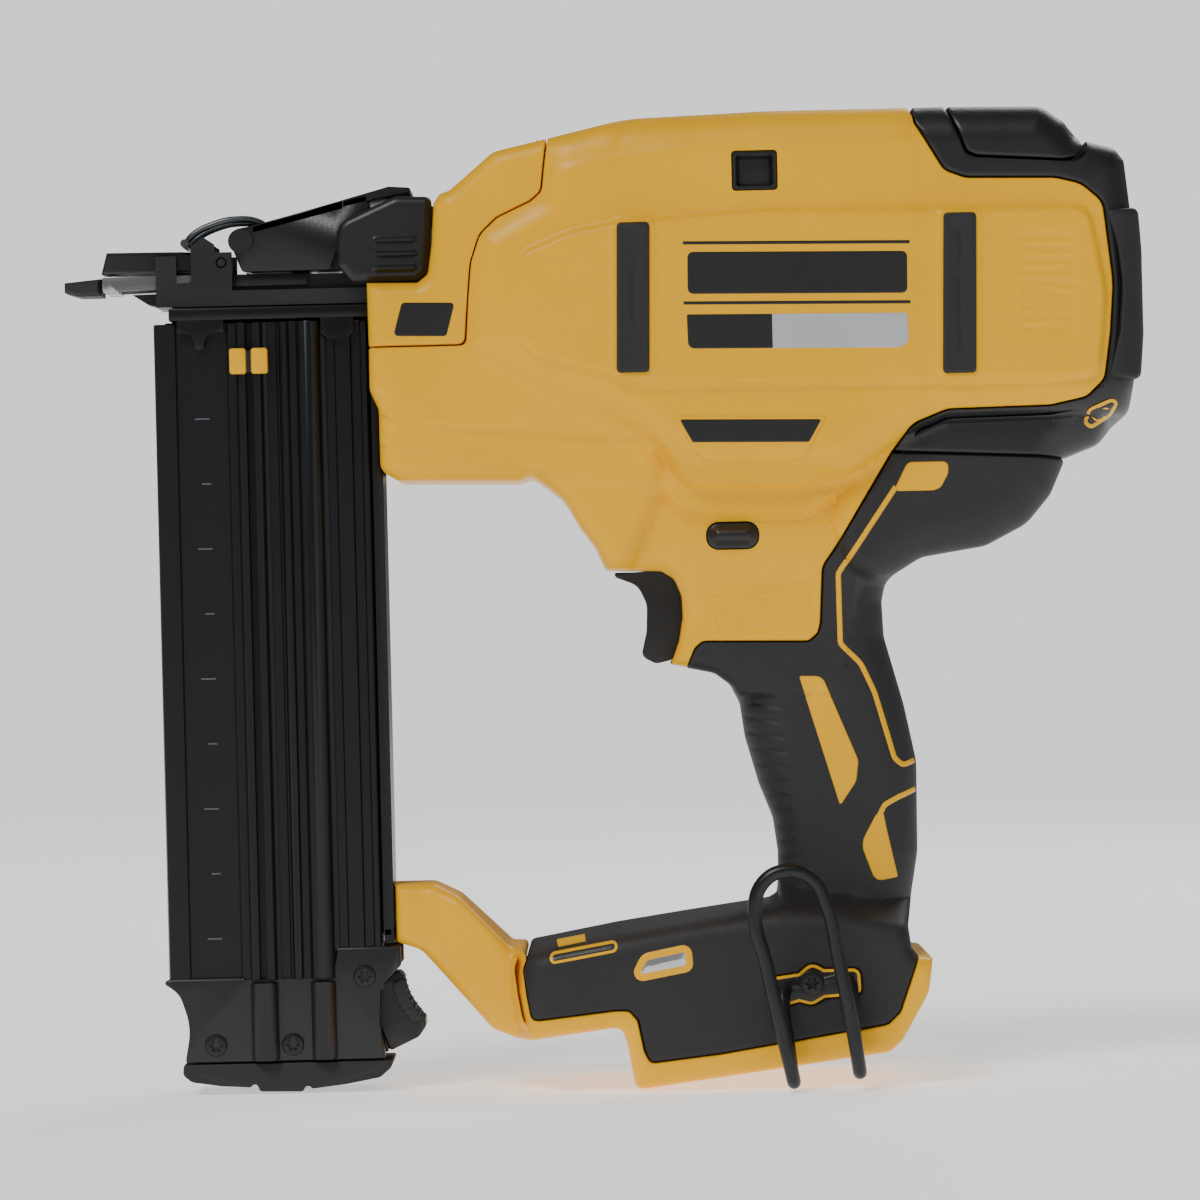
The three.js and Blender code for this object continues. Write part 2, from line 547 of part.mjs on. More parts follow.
const END_CAP = [
  [-128, 32.4], [-130.2, 31.2, 1], [-125, 27.5, 5], [-122.3, 20, 6], [-123.8, 9.8], [-66.3, 9.8],
  [-68.4, 22, 4],
  [-61.8, 33.4, 1], [-61.8, 41, 0.8], [-80.5, 41, 0.8], [-80.5, 31.4], [-105.6, 31.4], [-106.6, 33.4],
  [-126, 33.4],
];
function endCap() {
  const w = MAGAZINE.halfWidth + 0.5;
  const rib = ([x0, x1]) => rodZ((x0 + x1) / 2, -w + 0.6, (x1 - x0) / 2, 9.8, 31.4);
  return cut(
    union(across(END_CAP, w, 1, 1), ...RIDGES.map(rib)),
    box(-82, -60, -w + 3.5, w + 1, 31.6, 45),
    ...CAP_SCREWS.map(([x, z]) => rodY(x, z, 1.7, -30, 10, 8)),
    ...CAP_SCREWS.map(([x, z]) => rodY(x, z, 3.7, -30, -w + 2.4, 12)),
    across(grown(MAGAZINE_LATCH, 0.5), 9.8),
    box(-75, -50, -8.4, 8.4, 8, 34),
    box(-69, -50, -9.8, 9.8, 8, 28),
    rodY(MAGAZINE_LATCH_PIN.x, MAGAZINE_LATCH_PIN.z, MAGAZINE_LATCH_PIN.r + GAP, -10, 10, 12),
  );
}
add("magazine_end_cap", endCap(), BLACK_PLASTIC);
const MAGAZINE_BASE = [
  [-123.9, 9.4], [-123.4, 5.8, 2], [-112, 1.4, 3], [-104.8, 0, 2], [-90.7, 0, 2], [-66.8, 4.8, 2],
  [-65.8, 9.4],
];
add("magazine_base_pad", across(MAGAZINE_BASE, MAGAZINE.halfWidth + 0.5, 1.2, 1), RUBBER);
CAP_SCREWS.forEach(([x, z], i) => {
  add(`magazine_screw_${i + 1}`, screw(x, z, -MAGAZINE.halfWidth - 0.3, 3.3, 5), DARK_STEEL);
});
const latchTrunnion = rodY(MAGAZINE_LATCH_PIN.x, MAGAZINE_LATCH_PIN.z, MAGAZINE_LATCH_PIN.r, -9.6, 9.6, 12);
add("magazine_latch", union(across(MAGAZINE_LATCH, 8, 1), latchTrunnion), BLACK_PLASTIC);

const PUSHER = { z: 206, top: 212.6 };
add("nail_pusher", union(
  box(-124, -72, -0.55, 0.6, PUSHER.z - 14, PUSHER.top),
  box(-101.6, -100.3, -MAGAZINE.halfWidth - 3.2, 0, PUSHER.z + 1, PUSHER.top - 2),
), DARK_STEEL);
const knob = cut(
  union(rodZ(-100.95, -MAGAZINE.halfWidth + 0.6, 5.4, PUSHER.z - 0.4, PUSHER.top, 20)),
  rodZ(-100.95, -MAGAZINE.halfWidth + 0.6, 4.1, PUSHER.z - 5, PUSHER.top + 5, 16),
  box(-110, -90, -MAGAZINE.halfWidth - 1.2, 20, 190, 230),
  box(-101.95, -99.95, -30, 20, 190, 230),
);
const bridgeBack = -MAGAZINE.halfWidth - 3.55; // it joins the knob's halves over the pusher's neck
const knobBridge = box(-104.6, -97.3, bridgeBack - 1.75, bridgeBack, PUSHER.z - 0.4, PUSHER.top);
add("pusher_knob", knob.add(solid(knobBridge)), YELLOW);

// ---- Nose ------------------------------------------------------------------------------------
function nosePlate() {
  const { plateTop, plateBottom } = NOSE;
  const cheek = [
    [-127.2, plateTop - 0.5], [-127.2, 239.8], [-121.3, 239.8], [-121.3, 232], [-117, 232], [-117, 242.4],
    [-113.6, 245.2], [-110.4, 243], [-110.4, 240.6], [-105.4, 240.6], [-105.4, plateTop - 0.5],
  ];
  const tongue = [[-134.6, 229.4], [-130, 226.4], [-126, 225.4], [-126, plateTop]];
  return cut(
    union(
      box(-127.2, -58.4, -12.5, 12.5, plateBottom, plateTop),
      slab(cheek, -12.5, -10),
      slab(cheek, 10, 12.5),
      across(tongue, 5),
      box(-126, -58.4, -5.4, -1, plateTop - 0.5, 234.3),
      box(-126, -58.4, 1, 5.4, plateTop - 0.5, 234.3),
    ),
    box(-125, -71, -0.9, 0.9, plateBottom - 5, plateTop + 1),
    rodY(DOOR_PIN.x, DOOR_PIN.z, DOOR_PIN.r + GAP, -20, 20, 12),
  );
}
add("nose_plate", nosePlate(), BLACK_METAL);

const TRIP = { front: -143, rear: -84, z0: 230.7, z1: 234.5 };
function contactTrip() {
  return cut(
    union(
      box(TRIP.front, TRIP.rear, -9, -6.2, TRIP.z0, TRIP.z1),
      box(TRIP.front, TRIP.rear, 6.2, 9, TRIP.z0, TRIP.z1),
      box(TRIP.front, -138.4, -9, 9, 229.7, 234.7),
      box(-90, TRIP.rear, 8.5, 15.4, TRIP.z0, TRIP.z1),
      box(-90, TRIP.rear, 13.6, 15.4, TRIP.z0, 242),
    ),
    box(-150, -130, -1.2, 1.2, 230.6, 234),
  );
}
add("contact_trip", contactTrip(), STEEL);
const TIP = [
  [NOSE.tip, 230.4, 0.8], [NOSE.tip, 233.2, 0.6], [-143.3, 234.2, 0.4], [-143.3, 229.2, 0.4],
  [-150, 229.2, 1],
];
const bladeGroove = box(-160, -140, -1.2, 1.2, DRIVE_Z - BLADE / 2 - GAP, 240);
add("no_mar_tip", cut(union(across(TIP, 7.5, 1, 1)), bladeGroove), RUBBER);

function noseDoor() {
  const plate = [
    [-143.2, 235.2], [-141.4, 241.4, 1], [-120, 241.2], [-112, 240.6, 1], [-106.2, 239.9, 2.4],
    [-106.4, 235.9, 1.6],
    [-110, 235],
  ];
  return union(across(plate, 9.4, 0.8, 1), rodY(DOOR_PIN.x, DOOR_PIN.z, DOOR_PIN.r, -12.4, 12.4, 12));
}
add("nose_door", noseDoor(), BLACK_METAL);

const NOSE_BLOCK_W = 9.6;
const NOSE_BLOCK = [
  [-103, 236], [-105.1, 241.4], [-105.8, 245, 2], [-101, 246.6, 2], [-98.6, 243.6], [-75.4, 247.6],
  [-58.4, 247.6],
  [-58.4, 235.1], [-100, 235.1],
];
const latchPinHole = () => rodY(LATCH_PIN.x, LATCH_PIN.z, LATCH_PIN.r + GAP, -20, 20, 12);
add("nose_block", cut(union(across(NOSE_BLOCK, NOSE_BLOCK_W)), latchPinHole()), BLACK_METAL);
add("latch_pin", rodY(LATCH_PIN.x, LATCH_PIN.z, LATCH_PIN.r, -14.6, 14.6, 12), STEEL);

function latchLever() {
  const skirt = [
    [-98.6, 235.4], [-98.6, 240.6], [-104.8, 240.9, 1], [-105.6, 244, 2], [-104.4, 247, 2], [-99, 247.4, 2],
    [-76, 253], [-76, 235.4, 1],
  ];
  const plate = [
    [-98.6, 245.4], [-98.6, 248], [-60, 258.2, 1], [-53.4, 257.8, 1], [-53.6, 256, 0.6], [-62, 255],
  ];
  return cut(
    union(slab(skirt, -13.2, -11.2), slab(skirt, 11.2, 13.2), across(plate, 13.2)),
    latchPinHole(),
    rodY(BAIL_PIVOT.x, BAIL_PIVOT.z, 1.5, -10.4, 10.4, 12),
    box(-110, -72, -9.4, -5.8, 244.6, 262), // the bail's arms swing back through these two slots
    box(-110, -72, 5.8, 9.4, 244.6, 262),
    box(-94, -92.8, -11, 11, 244, 246),
  );
}
add("latch_lever", latchLever(), BLACK_METAL);

function wireBail() {
  const r = 1.05;
  const side = (y) => [
    [BAIL_PIVOT.x, y, BAIL_PIVOT.z], [-97.4, y, 249.2], [-104, y, 250.2], [-111, y, 248.8],
    [-116.6, y, 246],
    [-118.9, y, 243.4],
  ];
  const bend = (points) => new THREE.CatmullRomCurve3(points.map((p) => new THREE.Vector3(...p)));
  const arm = (y) => tube(bend(side(y)), r, 14, 6);
  return union(
    arm(-7.6),
    arm(7.6),
    rodY(-118.9, 243.5, 1.6, -12.3, 12.3, 12),
    rodY(BAIL_PIVOT.x, BAIL_PIVOT.z, 1.1, -8.4, 8.4, 10),
  );
}
add("wire_bail", wireBail(), DARK_STEEL);

const NOSE_CAP = [
  [-74.9, 235.6, 1], [-74.7, 246, 1.5], [-57, 255.2, 4], [-47.2, 254.4, 1], [-48.8, 233, 2],
  [-52, 230.4], [-70, 230.4],
];
function noseCap() {
  return cut(
    union(across(NOSE_CAP, 20, 2), box(-75, -64, 16, 27.6, 234.4, 242.6)),
    rodX(DEPTH_SCREW.y, DEPTH_SCREW.z, DEPTH_SCREW.r + GAP, -80, -68.4, 12),
    box(-90, -40, -14, 14, 225, 248.2),
    across([[-100, 243], [-60, 253.4], [-50, 254.6], [-50, 270], [-100, 270]], 14),
    box(-60, -40, -17, 17, 233, 243),
  );
}
add("nose_cap", noseCap(), BLACK_PLASTIC);

// The depth wheel's screw moves a carriage along X, and the contact trip's stop rides on the carriage.
const WHEEL = Array.from({ length: 48 }, (_, i) => {
  const r = i % 4 < 2 ? 7.4 : 6.7;
  const a = (i / 48) * 2 * Math.PI;
  return new THREE.Vector2(r * Math.cos(a), r * Math.sin(a));
});
const wheelDisc = new THREE.ExtrudeGeometry(new THREE.Shape(WHEEL), { depth: 6, bevelEnabled: false });
wheelDisc.rotateY(Math.PI / 2).translate(-82.4, DEPTH_SCREW.y, DEPTH_SCREW.z);
const screwRod = rodX(DEPTH_SCREW.y, DEPTH_SCREW.z, DEPTH_SCREW.r, -102, -69, 12);
add("depth_wheel", union(wheelDisc, screwRod), BLACK_PLASTIC);
add("depth_carriage", cut(
  union(box(-96.4, -90.6, 15.9, 27.6, 234.9, 242.4)),
  rodX(DEPTH_SCREW.y, DEPTH_SCREW.z, DEPTH_SCREW.r + GAP, -110, -70, 12),
), DARK_STEEL);

// ---- Drive: motor flywheel, driver, guide rods, pinch roller ---------------------------------
function driveFrame() {
  const endPlate = [[14, 225, 4], [64, 225, 4], [56, 184, 10], [39, 175, 10], [22, 184, 10]];
  const post = (x) => rodY(x, 222, 2.4, FRAME.y - 1, 28, 10);
  return cut(
    union(
      across(FRAME_SIDE, FRAME.y),
      slab(endPlate, 27.4, 30.4),
      post(FLYWHEEL.x - 20.7),
      post(FLYWHEEL.x + 20.7),
      box(FRAME.neck, FRAME.x0 + 0.5, -13, 13, 224, FRAME.z1),
    ),
    box(FRAME.x0 + 4, FRAME.x1 - 3, -FRAME.y + FRAME.wall, FRAME.y - FRAME.wall, 180, 260),
    rodY(FLYWHEEL.x, FLYWHEEL.z, 4.4, -30, 0, 12),
    rodY(FLYWHEEL.x, FLYWHEEL.z, 26.6, 0, 27.4, 24),
    rodY(FLYWHEEL.x, FLYWHEEL.z, 4.4, 0, 40, 12),
    box(-70, FRAME.x0 + 5, -1.3, 1.3, 230, 234.6),
    rodX(-ROD_Y, 237, 2.4, FRAME.x0 - 2, 130, 12),
    rodX(ROD_Y, 237, 2.4, FRAME.x0 - 2, 130, 12),
    rodY(ARM_PIN.x, ARM_PIN.z, ARM_PIN.r + GAP, -30, 30, 12),
  );
}
add("drive_frame", driveFrame(), ALUMINIUM);

add("motor_flywheel", turnedY(
  [[4.3, -8], [FLYWHEEL.r - 1, -8], [FLYWHEEL.r, -7], [FLYWHEEL.r, 6], [25.6, 8], [25.6, 27],
  [22.8, 27], [22.8, 9.5],
    [8, 9.5], [8, 12], [4.3, 12], [4.3, -8]],
  FLYWHEEL.x, FLYWHEEL.z,
), DARK_STEEL);
add("motor_shaft", rodY(FLYWHEEL.x, FLYWHEEL.z, 4, -20, 31, 16), STEEL);
const STATOR_TEETH = 12;
const STATOR = Array.from({ length: STATOR_TEETH * 4 }, (_, i) => {
  const r = i % 4 < 2 ? 22.2 : 15;
  const a = ((i + (i % 2 ? -0.2 : 0.2)) / (STATOR_TEETH * 4)) * 2 * Math.PI;
  return [FLYWHEEL.x + r * Math.cos(a), FLYWHEEL.z + r * Math.sin(a)];
});
const statorBore = rodY(FLYWHEEL.x, FLYWHEEL.z, 4.3, 0, 40, 16);
add("motor_stator", cut(union(slab(STATOR, 12.4, 27)), statorBore), COPPER);

// The driver: a blade in front, a bar over the flywheel, and a crosshead on the two guide rods.
const crossheadEar = (y) => box(90, 98, y - 3.4, y + 3.4, 233, 242);
add("driver", cut(
  union(
    box(-69, 44, -0.7, 0.7, DRIVE_Z - BLADE / 2, DRIVE_Z + BLADE / 2),
    box(42, 100, -4, 4, FLYWHEEL.z + FLYWHEEL.r + GAP, 239.3),
    box(90, 98, -12.9, 12.9, 232, 239.3),
    crossheadEar(-ROD_Y),
    crossheadEar(ROD_Y),
  ),
  rodX(-ROD_Y, 237, 2.4, 80, 110, 12),
  rodX(ROD_Y, 237, 2.4, 80, 110, 12),
), STEEL);
[["left", -ROD_Y], ["right", ROD_Y]].forEach(([side, y]) => {
  add(`guide_rod_${side}`, rodX(y, 237, 2, FRAME.x0 - 1.5, FRAME.x1 - 1, 10), STEEL);
});
const bladeSlot = box(-70, -30, -1.3, 1.3, 230, 234.6);
add("driver_bumper", cut(union(box(-41.6, -34, -5.2, 5.2, 226, 245)), bladeSlot), RUBBER);

const DRIVER_TOP = 239.3;
const ROLLER = { x: FLYWHEEL.x, z: DRIVER_TOP + 0.1 + GAP + 6, r: 6 };
const ARM_OUTLINE = [
  [36, 250, 2], [36, 243, 2], [42, 243, 2], [64, 250, 2.5], [66, 254, 2], [62, 257, 2],
];
add("pinch_arm", cut(
  union(across(ARM_OUTLINE, 9), rodY(ARM_PIN.x, ARM_PIN.z, ARM_PIN.r, -16.6, 16.6, 12)),
  box(30, 47, -5.4, 5.4, 230, 260),
  rodY(ROLLER.x, ROLLER.z, 2.3, -20, 20, 12),
), DARK_STEEL);
const ROLLER_PROFILE = [[0, -9], [2, -9], [2, -5], [ROLLER.r, -5], [ROLLER.r, 5], [2, 5], [2, 9], [0, 9]];
add("pinch_roller", turnedY(ROLLER_PROFILE, ROLLER.x, ROLLER.z, 24), STEEL);
add("solenoid", union(box(74, 89, -8, 8, 249, 261), rodX(0, 255, 3, 70.4, 74.5, 12)), DARK_STEEL);

export default nailer;
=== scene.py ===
"""Looks for the cordless brad nailer: fine shells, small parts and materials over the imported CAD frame."""
import json
import math
import bmesh
import bpy
import numpy as np
from mathutils import Matrix, Vector, geometry


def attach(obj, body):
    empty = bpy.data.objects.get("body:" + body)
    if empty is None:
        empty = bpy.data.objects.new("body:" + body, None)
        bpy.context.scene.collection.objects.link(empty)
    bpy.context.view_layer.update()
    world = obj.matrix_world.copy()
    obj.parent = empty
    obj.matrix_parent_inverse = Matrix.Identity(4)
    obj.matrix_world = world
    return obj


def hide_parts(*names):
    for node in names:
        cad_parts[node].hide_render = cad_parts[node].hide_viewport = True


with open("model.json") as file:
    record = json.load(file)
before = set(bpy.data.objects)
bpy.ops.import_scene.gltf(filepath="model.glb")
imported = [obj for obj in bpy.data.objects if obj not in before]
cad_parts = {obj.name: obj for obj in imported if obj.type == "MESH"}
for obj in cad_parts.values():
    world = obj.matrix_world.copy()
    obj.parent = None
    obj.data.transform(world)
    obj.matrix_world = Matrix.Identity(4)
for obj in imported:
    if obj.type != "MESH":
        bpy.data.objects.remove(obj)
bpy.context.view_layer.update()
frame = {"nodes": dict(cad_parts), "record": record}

# ---- Sizes in millimetres, in the part's frame ---------------------------------------------------
MM = 0.001
MID = 8.8  # the joint plane of the housing halves
WALL = 2.4  # moulded wall
BARREL_W = 35.4  # half widths outside, from the joint plane
PANEL_RISE = 2.3
FRONT_W = 29.0
NECK_W = 22.0
NECK_LOW_W = 18.6
ARM_W = 13.0
ARM_FLARE = 9.0  # extra half width where the arm meets the foot
FOOT_W = 37.5
HANDLE_W = 17.5
POD_W = 26.0
MAGAZINE_W = 12.5
TRIGGER_SLOT_W = 8.8
MAGAZINE_NOTCH_W = 14.4
JOINT_GAP = 0.08  # how far each half stops short of the joint plane
RINGS = (0.25, 0.6, 1.2, 2.2, 3.6, 5.4, 7.6, 10)  # insets from a rim at which a shell gets extra points
MAGAZINE_SCREWS = [[-115.2, 13.8], [-93.2, 13.6], [-72.3, 32.6]]


# ---- Outlines ------------------------------------------------------------------------------------
def rounded(corners, step=0.8):
    """Points of a closed outline in X-Z through corners [x, z, radius], with true arcs."""
    points = []
    count = len(corners)
    for i, corner in enumerate(corners):
        p = np.array(corner[:2], float)
        r = corner[2] if len(corner) > 2 else 0
        back = np.array(corners[i - 1][:2], float) - p
        ahead = np.array(corners[(i + 1) % count][:2], float) - p
        back_length = np.linalg.norm(back)
        ahead_length = np.linalg.norm(ahead)
        back /= back_length
        ahead /= ahead_length
        half = 0.5 * math.acos(float(np.clip(back @ ahead, -1, 1)))
        if r <= 0 or half > 1.56:
            points.append(p)
            continue
        cut = min(r / math.tan(half), back_length * 0.48, ahead_length * 0.48)
        r = cut * math.tan(half)
        centre = p + (back + ahead) / np.linalg.norm(back + ahead) * (r / math.sin(half))
        first = p + back * cut - centre
        last = p + ahead * cut - centre
        start = math.atan2(first[1], first[0])
        sweep = (math.atan2(last[1], last[0]) - start + math.pi) % (2 * math.pi) - math.pi
        steps = max(2, math.ceil(abs(sweep) * r / step))
        for k in range(steps + 1):
            a = start + sweep * k / steps
            points.append(centre + r * np.array([math.cos(a), math.sin(a)]))
    return np.array(points)


def divided(points, step):
    """The closed line with no edge longer than step, its corners kept."""
    out = []
    for a, b in zip(points, np.roll(points, -1, 0)):
        steps = max(1, math.ceil(np.linalg.norm(b - a) / step))
        out += [a + (b - a) * k / steps for k in range(steps)]
    return np.array(out)


def area(points):
    """Signed area of a closed outline, positive when it turns from +X to +Z."""
    x, z = points.T
    return 0.5 * float(np.sum(x * np.roll(z, -1) - np.roll(x, -1) * z))


def outward(points):
    """Unit normals at the points of a closed line, pointing out of it."""
    a = points - np.roll(points, 1, 0)
    b = np.roll(points, -1, 0) - points
    a /= np.linalg.norm(a, axis=1)[:, None]
    b /= np.linalg.norm(b, axis=1)[:, None]
    n = np.stack([a[:, 1] + b[:, 1], -a[:, 0] - b[:, 0]], 1)
    n /= np.maximum(np.linalg.norm(n, axis=1)[:, None], 1e-9)
    return n if area(points) > 0 else -n


def distance(points, line, closed=True):
    """Distance from points to a line: negative inside it where it is closed."""
    a = line if closed else line[:-1]
    b = np.roll(line, -1, 0) if closed else line[1:]
    ab = b - a
    length = np.maximum((ab ** 2).sum(1), 1e-12)
    rise = np.where(ab[:, 1] == 0, 1e-12, ab[:, 1])
    out = np.empty(len(points))
    for s in range(0, len(points), 4000):
        p = points[s:s + 4000, None, :]
        t = np.clip(((p - a) * ab).sum(2) / length, 0, 1)
        d = np.sqrt((((a + ab * t[..., None]) - p) ** 2).sum(2)).min(1)
        if closed:
            spans = (a[:, 1] > p[..., 1]) != (b[:, 1] > p[..., 1])
            left = p[..., 0] < ab[:, 0] * (p[..., 1] - a[:, 1]) / rise + a[:, 0]
            d = np.where((spans & left).sum(1) % 2 == 1, -d, d)
        out[s:s + 4000] = d
    return out


def smooth(t):
    """An even step from 0 to 1."""
    t = np.clip(t, 0, 1)
    return t * t * (3 - 2 * t)


def drop(radius, inset):
    """How far a rounded edge of that radius lies below its flat, at a distance in from the edge."""
    u = np.clip(radius - inset, 0, radius)
    return radius - np.sqrt(np.maximum(radius ** 2 - u ** 2, 0))


# ---- Materials -----------------------------------------------------------------------------------
def node_of(tree, kind, **values):
    """A shader node with its inputs or settings given by name."""
    made = tree.nodes.new(kind)
    for key, value in values.items():
        if key in made.inputs:
            made.inputs[key].default_value = value
        else:
            setattr(made, key, value)
    return made


def material(name, color, roughness, metallic=0.0, grain=900, bump=0.08, spread=0.06, wear=0.0, coat=0.0,
             stretch=(1, 1, 1), rough_spread=0.08):
    """A Principled material with cloudy colour, fine bump, uneven roughness and paler worn edges."""
    made = bpy.data.materials.new(name)
    made.use_nodes = True
    tree = made.node_tree
    shader = tree.nodes["Principled BSDF"]
    shader.inputs["Metallic"].default_value = metallic
    shader.inputs["Coat Weight"].default_value = coat
    shader.inputs["Coat Roughness"].default_value = 0.25
    place = node_of(tree, "ShaderNodeTexCoord")
    scale = node_of(tree, "ShaderNodeMapping")
    scale.inputs["Scale"].default_value = stretch
    tree.links.new(place.outputs["Object"], scale.inputs["Vector"])
    cloud = node_of(tree, "ShaderNodeTexNoise", Scale=22.0, Detail=4.0)
    fine = node_of(tree, "ShaderNodeTexNoise", Scale=float(grain), Detail=2.0)
    for texture in (cloud, fine):
        tree.links.new(scale.outputs["Vector"], texture.inputs["Vector"])
    ramp = node_of(tree, "ShaderNodeValToRGB")
    ramp.color_ramp.elements[0].position = 0.3
    ramp.color_ramp.elements[1].position = 0.7
    ramp.color_ramp.elements[0].color = [c * (1 - spread) for c in color] + [1]
    ramp.color_ramp.elements[1].color = [min(1, c * (1 + spread)) for c in color] + [1]
    tree.links.new(cloud.outputs["Fac"], ramp.inputs["Fac"])
    base = ramp.outputs["Color"]
    if wear:
        edges = node_of(tree, "ShaderNodeNewGeometry")
        edge_ramp = node_of(tree, "ShaderNodeValToRGB")
        edge_ramp.color_ramp.elements[0].position = 0.52
        edge_ramp.color_ramp.elements[1].position = 0.62
        worn = node_of(tree, "ShaderNodeMix", data_type="RGBA")
        amount = node_of(tree, "ShaderNodeMath", operation="MULTIPLY")
        amount.inputs[1].default_value = wear
        tree.links.new(edges.outputs["Pointiness"], edge_ramp.inputs["Fac"])
        tree.links.new(edge_ramp.outputs["Color"], amount.inputs[0])
        tree.links.new(amount.outputs[0], worn.inputs[0])
        tree.links.new(base, worn.inputs[6])
        worn.inputs[7].default_value = [min(1, c * 1.5 + 0.05) for c in color] + [1]
        base = worn.outputs[2]
    tree.links.new(base, shader.inputs["Base Color"])
    rough = node_of(tree, "ShaderNodeMapRange")
    rough.inputs["To Min"].default_value = max(0.02, roughness - rough_spread)
    rough.inputs["To Max"].default_value = min(1.0, roughness + rough_spread)
    tree.links.new(cloud.outputs["Fac"], rough.inputs["Value"])
    tree.links.new(rough.outputs["Result"], shader.inputs["Roughness"])
    bumped = node_of(tree, "ShaderNodeBump", Strength=bump, Distance=0.0002)
    tree.links.new(fine.outputs["Fac"], bumped.inputs["Height"])
    tree.links.new(bumped.outputs["Normal"], shader.inputs["Normal"])
    return made


def shade(hex_color):
    """Linear colour of an sRGB hex colour."""
    parts = [int(hex_color[i:i + 2], 16) / 255 for i in (0, 2, 4)]
    return [c / 12.92 if c <= 0.04045 else ((c + 0.055) / 1.055) ** 2.4 for c in parts]


YELLOW = material("yellow_plastic", (0.97, 0.49, 0.0), 0.36, bump=0.22, grain=1400, spread=0.03, coat=0.03)
RUBBER = material("black_overmould", shade("202022"), 0.6, bump=0.4, grain=1900, spread=0.1,
                  rough_spread=0.06)
BLACK = material("black_plastic", shade("1a1b1d"), 0.4, bump=0.22, grain=1500, spread=0.08)
DARK_METAL = material("black_coated_steel", shade("1c1d20"), 0.34, 0.35, bump=0.2, grain=1100, spread=0.1,
                      wear=0.4)
ANODISED = material("black_anodised_aluminium", shade("1c1d20"), 0.32, 0.45, bump=0.16, grain=800,
                    spread=0.08, stretch=(1, 1, 0.04))
STEEL = material("ground_steel", shade("b9bbbd"), 0.28, 1.0, bump=0.12, grain=1600, stretch=(0.05, 1, 1))
DARK_STEEL = material("dark_steel", shade("55585b"), 0.34, 0.9, bump=0.12, grain=1300, wear=0.3)
CAST = material("cast_aluminium", shade("a6a9ac"), 0.48, 1.0, bump=0.3, grain=1000)
COPPER = material("copper_winding", shade("b06a38"), 0.4, 1.0, bump=0.3, grain=900, stretch=(1, 6, 1))
BRASS = material("contact_brass", shade("b08a3c"), 0.35, 1.0, bump=0.1)
BOARD = material("board_green", shade("1f5a35"), 0.5, bump=0.1)
LENS_GLASS = material("lamp_lens", shade("c4c8ca"), 0.14, 0.7, grain=260, bump=0.6, coat=0.6)
GREY = material("pale_grey_print", shade("b9bcbe"), 0.45, bump=0.1)
YELLOW.node_tree.nodes["Principled BSDF"].inputs["Specular IOR Level"].default_value = 0.25
GREY_MARK = material("dim_grey_print", shade("54565a"), 0.5, bump=0.1)
PAINT_BLACK = material("black_print", shade("1a1a1b"), 0.42, bump=0.12, grain=1400)


# ---- Mesh making ---------------------------------------------------------------------------------
def finished(name, vertices, faces, mat, body, replaces=(), slot=None, crease=32):
    """A piece from points in millimetres about the joint plane, riding on a body."""
    mesh = bpy.data.meshes.new(name)
    v = np.asarray(vertices, float) * MM
    v[:, 1] += MID * MM
    mesh.from_pydata(v.tolist(), [], faces)
    mesh.validate()
    made = bpy.data.objects.new(name, mesh)
    bpy.context.scene.collection.objects.link(made)
    mesh.materials.append(mat)
    return settled(made, body, replaces, crease)


def settled(made, body, replaces=(), crease=32):
    """Cleans a piece's mesh, then puts it on its body with what it replaces."""
    mesh = made.data
    tidy = bmesh.new()
    tidy.from_mesh(mesh)
    bmesh.ops.remove_doubles(tidy, verts=tidy.verts, dist=2e-6)
    bmesh.ops.dissolve_degenerate(tidy, edges=tidy.edges, dist=2e-6)
    bmesh.ops.recalc_face_normals(tidy, faces=tidy.faces)
    tidy.to_mesh(mesh)
    tidy.free()
    mesh.shade_smooth()
    mesh.set_sharp_from_angle(angle=math.radians(crease))
    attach(made, body)
    if replaces:
        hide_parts(*replaces)
    return made


def contour(line, offsets, keep_inside, margin=0.35, step=0.7):
    """Points along a line at offsets from it (positive outwards), where they stay inside a region."""
    dense = divided(line, step)
    normals = outward(dense)
    out = []
    for offset in offsets:
        moved = dense + normals * offset
        ok = np.abs(distance(moved, line)) > abs(offset) * 0.92 - 0.02
        out.append(moved[ok])
    points = np.concatenate(out)
    return points[distance(points, keep_inside) < -margin]


